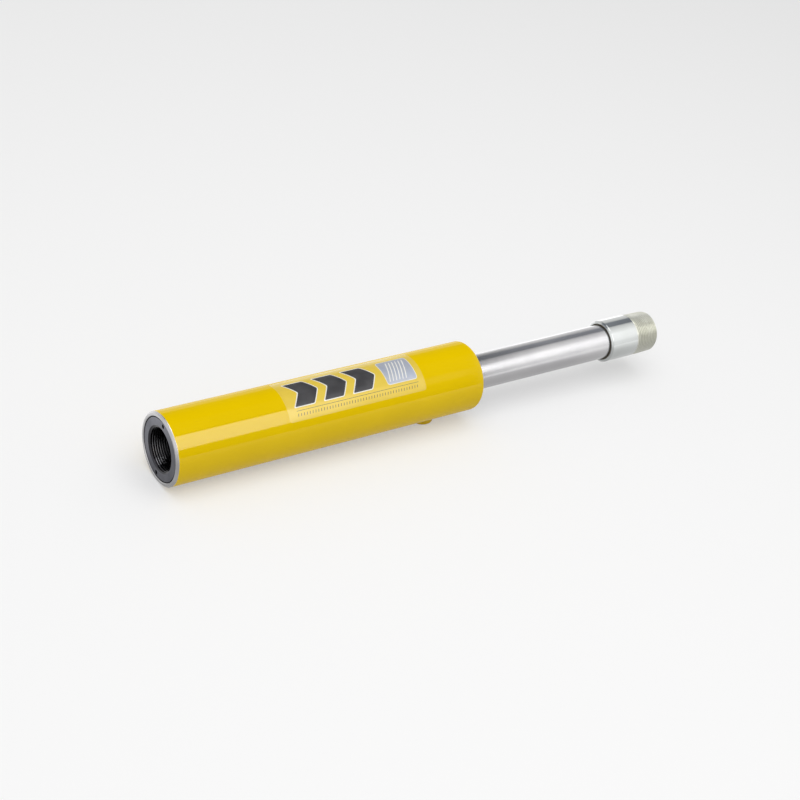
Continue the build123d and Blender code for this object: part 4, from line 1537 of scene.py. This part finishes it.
@dataclass
class Studio:
    """A pale floor, soft light and the camera of the photograph.

    Attributes:
        rests_rear: Where the barrel's rear edge touches the floor, X and Z in mm.
        rests_front: Where the boss touches it.
        floor_reach: Half the floor's side, m.
        floor_white: How white the floor looks.
        floor_bounce: How much light it throws back on the cylinder.
        floor_glow: Share of plain white in the floor's look, which lightens its shadows.
        floor_mirror_shade_and_light: How bright mirrors see the floor, from far to near, a painted shadow that dims
            its reflection near the cylinder; and the painted light added behind, and ahead.
        backdrop: Colour behind the floor.
        fill: Strength of the even light from all round.
        lamp_power: Power of the overhead lamp, W.
        lamp_place: Where it hangs, m.
        lamp_size: Its side, m.
        camera_place: Where the camera stands, m.
        camera_turn: Its azimuth, elevation and roll, in degrees.
        lens: Its focal length, mm.
    """

    rests_rear: Corner = (1.5, -34.0)
    rests_front: Corner = (272.6, -39.4)
    floor_reach: float = 9.0
    floor_white: float = 0.93
    floor_bounce: float = 0.70
    floor_glow: float = 0.40
    floor_mirror_shade_and_light: tuple[Corner, Corner, Corner] = ((1.15, 0.66), (0.0, 0.9), (0.0, 0.36))
    backdrop: Colour = (0.94, 0.94, 0.94)
    fill: float = 0.55
    lamp_power: float = 26.0
    lamp_place: Triple = (0.10, -0.55, 1.9)
    lamp_size: float = 2.2
    camera_place: Triple = (-0.572789, -1.008784, 0.839600)
    camera_turn: Triple = (-39.385, 33.102, 10.138)
    lens: float = 73.749
    bands: list[tuple[float, float]] = field(default_factory=lambda: [
        (0, 1.05), (24, 0.95), (34, 0.80), (41, 0.30), (70, 0.28), (77, 0.95), (90, 1.18), (105, 1.42), (120, 1.55),
        (140, 1.52), (155, 1.40), (166, 1.20), (190, 1.10), (230, 0.95), (330, 0.95),
    ])

    def build(self) -> None:
        """Sets the view, the camera, the floor, the lamp and the light from all round."""
        bpy.context.scene.view_settings.view_transform = "Standard"
        self._camera()
        self._floor()
        self._lamp()
        self._surroundings()

    def _camera(self) -> None:
        """Stands the camera where the photograph was taken from."""
        azimuth, elevation, roll = (math.radians(angle) for angle in self.camera_turn)
        level = math.cos(elevation)
        back = Vector((math.sin(azimuth) * level, -math.cos(azimuth) * level, math.sin(elevation)))
        side = Vector((math.cos(azimuth), math.sin(azimuth), 0))
        right = side * math.cos(roll) + back.cross(side) * math.sin(roll)
        turn = Matrix((right, back.cross(right), back)).transposed().to_4x4()
        data = bpy.data.cameras.new("camera")
        data.lens, data.sensor_width, data.clip_end = self.lens, 36.0, 40.0
        camera = bpy.data.objects.new("camera", data)
        camera.matrix_world = Matrix.Translation(self.camera_place) @ turn
        bpy.context.scene.collection.objects.link(camera)
        bpy.context.scene.camera = camera

    def _floor(self) -> None:
        """Lays the floor under the barrel's rear edge and the boss, which the cylinder rests on."""
        (x_one, z_one), (x_two, z_two) = self.rests_rear, self.rests_front
        slope = (z_two - z_one) / (x_two - x_one)
        level = (z_one - x_one * slope - 0.05) * MM
        reach = self.floor_reach
        form = bmesh.new()
        corners = [(-reach, -reach), (reach, -reach), (reach, reach), (-reach, reach)]
        form.faces.new([form.verts.new((x, y, level + x * slope)) for x, y in corners])
        mesh = bpy.data.meshes.new("floor")
        form.to_mesh(mesh)
        form.free()
        material = bpy.data.materials.new("pale_floor")
        material.use_nodes = True
        bench = Bench(material.node_tree)
        shader = material.node_tree.nodes["Principled BSDF"]
        white, grey = self.floor_white, self.floor_bounce
        patches = bench.add("ShaderNodeTexNoise", {"Scale": 1.5, "Detail": 2.0})
        bench.feed(patches.inputs["Vector"], bench.node("ShaderNodeTexCoord").outputs["Object"])
        seen = self._seen(bench)
        camera = Value(bench, bench.node("ShaderNodeLightPath").outputs["Is Camera Ray"])
        mirrored = seen - camera
        parts = bench.add("ShaderNodeSeparateXYZ", {"Vector": bench.node("ShaderNodeTexCoord").outputs["Object"]})
        along, across = Value(bench, parts.outputs["X"]), Value(bench, parts.outputs["Y"])
        # Painted shadow and light for mirrors: the floor's glow is dimmer near the cylinder and brighter behind it and
        # far ahead.
        front, back, ahead = self.floor_mirror_shade_and_light
        mirror_shade_and_light = bench.spread(across, -0.40, -0.04, front) + bench.spread(across, 0.02, 0.12, back)
        mirror_shade_and_light = mirror_shade_and_light + bench.spread(along, 0.50, 0.64, ahead)
        pale = bench.blend(Value(bench, patches.outputs[0]), (white, white, white), (white - 0.01, white - 0.01, white - 0.01))
        bench.feed(shader.inputs["Base Color"], bench.blend(seen, (grey, grey, grey), pale))
        shader.inputs["Roughness"].default_value = 0.9
        shader.inputs["Specular IOR Level"].default_value = 0.0
        glow = bench.add("ShaderNodeEmission", {
            "Color": (*self.backdrop, 1.0), "Strength": camera + mirrored * mirror_shade_and_light})
        mix = bench.add("ShaderNodeMixShader", {"Fac": camera * self.floor_glow + mirrored * 0.9})
        bench.feed(mix.inputs[1], shader.outputs[0])
        bench.feed(mix.inputs[2], glow.outputs[0])
        bench.feed(material.node_tree.nodes["Material Output"].inputs["Surface"], mix.outputs[0])
        mesh.materials.append(material)
        floor = bpy.data.objects.new("floor", mesh)
        bpy.context.scene.collection.objects.link(floor)

    def _lamp(self) -> None:
        """Hangs one large soft lamp over the cylinder, seen by no mirror."""
        data = bpy.data.lights.new("overhead_lamp", "AREA")
        data.energy, data.size = self.lamp_power, self.lamp_size
        lamp = bpy.data.objects.new("overhead_lamp", data)
        aim = (Vector(self.lamp_place) - Vector((0.28, 0, 0))).to_track_quat("Z", "Y")
        lamp.matrix_world = Matrix.Translation(self.lamp_place) @ aim.to_matrix().to_4x4()
        lamp.visible_glossy = False
        bpy.context.scene.collection.objects.link(lamp)

    def _seen(self, bench: Bench) -> Value:
        """Tells the rays that make the picture and its mirror images from those that only carry light.

        Args:
            bench: The bench of the floor or of the world.

        Returns:
            1 for a camera, glossy or transmission ray, 0 for the rest.
        """
        path = bench.node("ShaderNodeLightPath").outputs
        mirrored = Value(bench, path["Is Glossy Ray"]).at_least(Value(bench, path["Is Transmission Ray"]))
        return mirrored.at_least(Value(bench, path["Is Camera Ray"]))

    def _window(self, bench: Bench, value: Value, opens: Corner, closes: Corner) -> Value:
        """A soft-edged window over a value.

        Args:
            bench: The world's bench.
            value: What the window looks at.
            opens: Where it starts and ends to open.
            closes: Where it starts and ends to close.

        Returns:
            1 inside the window, 0 outside.
        """
        opened = bench.spread(value, opens[0], opens[1], (0.0, 1.0), smooth=True)
        return opened * bench.spread(value, closes[0], closes[1], (1.0, 0.0), smooth=True)

    def _surroundings(self) -> None:
        """Lights the scene evenly, and gives mirrors the soft boxes and the dark gap of a studio."""
        world = bpy.data.worlds.new("studio")
        bpy.context.scene.world = world
        world.use_nodes = True
        bench = Bench(world.node_tree)
        way = bench.node("ShaderNodeTexCoord").outputs["Generated"]
        along, y, z = (Value(bench, s) for s in bench.add("ShaderNodeSeparateXYZ", {"Vector": way}).outputs)
        turn = (bench.math("ARCTAN2", z, y) / math.tau + 1).step("FRACT")
        ramp = bench.add("ShaderNodeValToRGB", {"Fac": turn})
        ramp.color_ramp.interpolation = "EASE"
        marks = ramp.color_ramp.elements
        while len(marks) > 1:
            marks.remove(marks[-1])
        for degrees, level in self.bands:
            mark = marks[0] if degrees == 0 else marks.new(degrees / 360)
            cool = 0.06 if level < 0.5 else 0.0
            mark.position, mark.color = degrees / 360, (level * (1 - cool), level, level * (1 + 2 * cool), 1)
        window = self._window
        degrees = turn * 360
        side = window(bench, along, (0.34, 0.38), (0.570, 0.580)) * window(bench, degrees, (14, 24), (180, 190))
        strip = window(bench, degrees, (114, 117), (154, 158)) * window(bench, along, (0.30, 0.36), (0.465, 0.50))
        sheen = window(bench, degrees, (118, 130), (138, 150)) * window(bench, along, (0.49, 0.52), (0.565, 0.575))
        roof = window(bench, degrees, (62, 66), (100, 104)) * window(bench, along, (-0.52, -0.48), (0.22, 0.26))
        rear = window(bench, degrees, (2, 10), (66, 80)) * window(bench, along * -1, (0.64, 0.70), (1.1, 1.2))
        gap = window(bench, degrees, (36, 44), (66, 74)) * window(bench, along, (0.575, 0.585), (0.632, 0.640))
        glow = window(bench, degrees, (104, 118), (176, 186)) * window(bench, along, (0.572, 0.580), (0.60, 0.66))
        extra = strip * 7.7 + sheen * 0.6 + roof * 3.4 + rear * 0.9 + gap * 0.22 + glow * 0.6
        grey = bench.add("ShaderNodeCombineXYZ", {"X": extra, "Y": extra, "Z": extra})
        dimmed = bench.add("ShaderNodeVectorMath", {"Scale": 1 - side * 0.88}, operation="SCALE")
        bench.feed(dimmed.inputs[0], ramp.outputs[0])
        mirrored = bench.node("ShaderNodeVectorMath", operation="ADD")
        bench.feed(mirrored.inputs[0], dimmed.outputs[0])
        bench.feed(mirrored.inputs[1], grey.outputs[0])
        even = (self.fill, self.fill, self.fill)
        seen = bench.blend(self._seen(bench), even, mirrored.outputs[0])
        camera = Value(bench, bench.node("ShaderNodeLightPath").outputs["Is Camera Ray"])
        seen = bench.blend(camera, seen, self.backdrop)
        bench.feed(world.node_tree.nodes["Background"].inputs["Color"], seen)


def main() -> None:
    """Builds the cylinder sub-assembly by sub-assembly, then the studio."""
    logging.basicConfig(level=logging.INFO, format="%(message)s")
    for part in (Studio(), Barrel(), BaseEnd(), ReturnSpring(), Gland(), PullRod(), PlainLabel()):
        LOG.info("building %s", type(part).__name__)
        part.build()


if __name__ == "__main__":
    main()
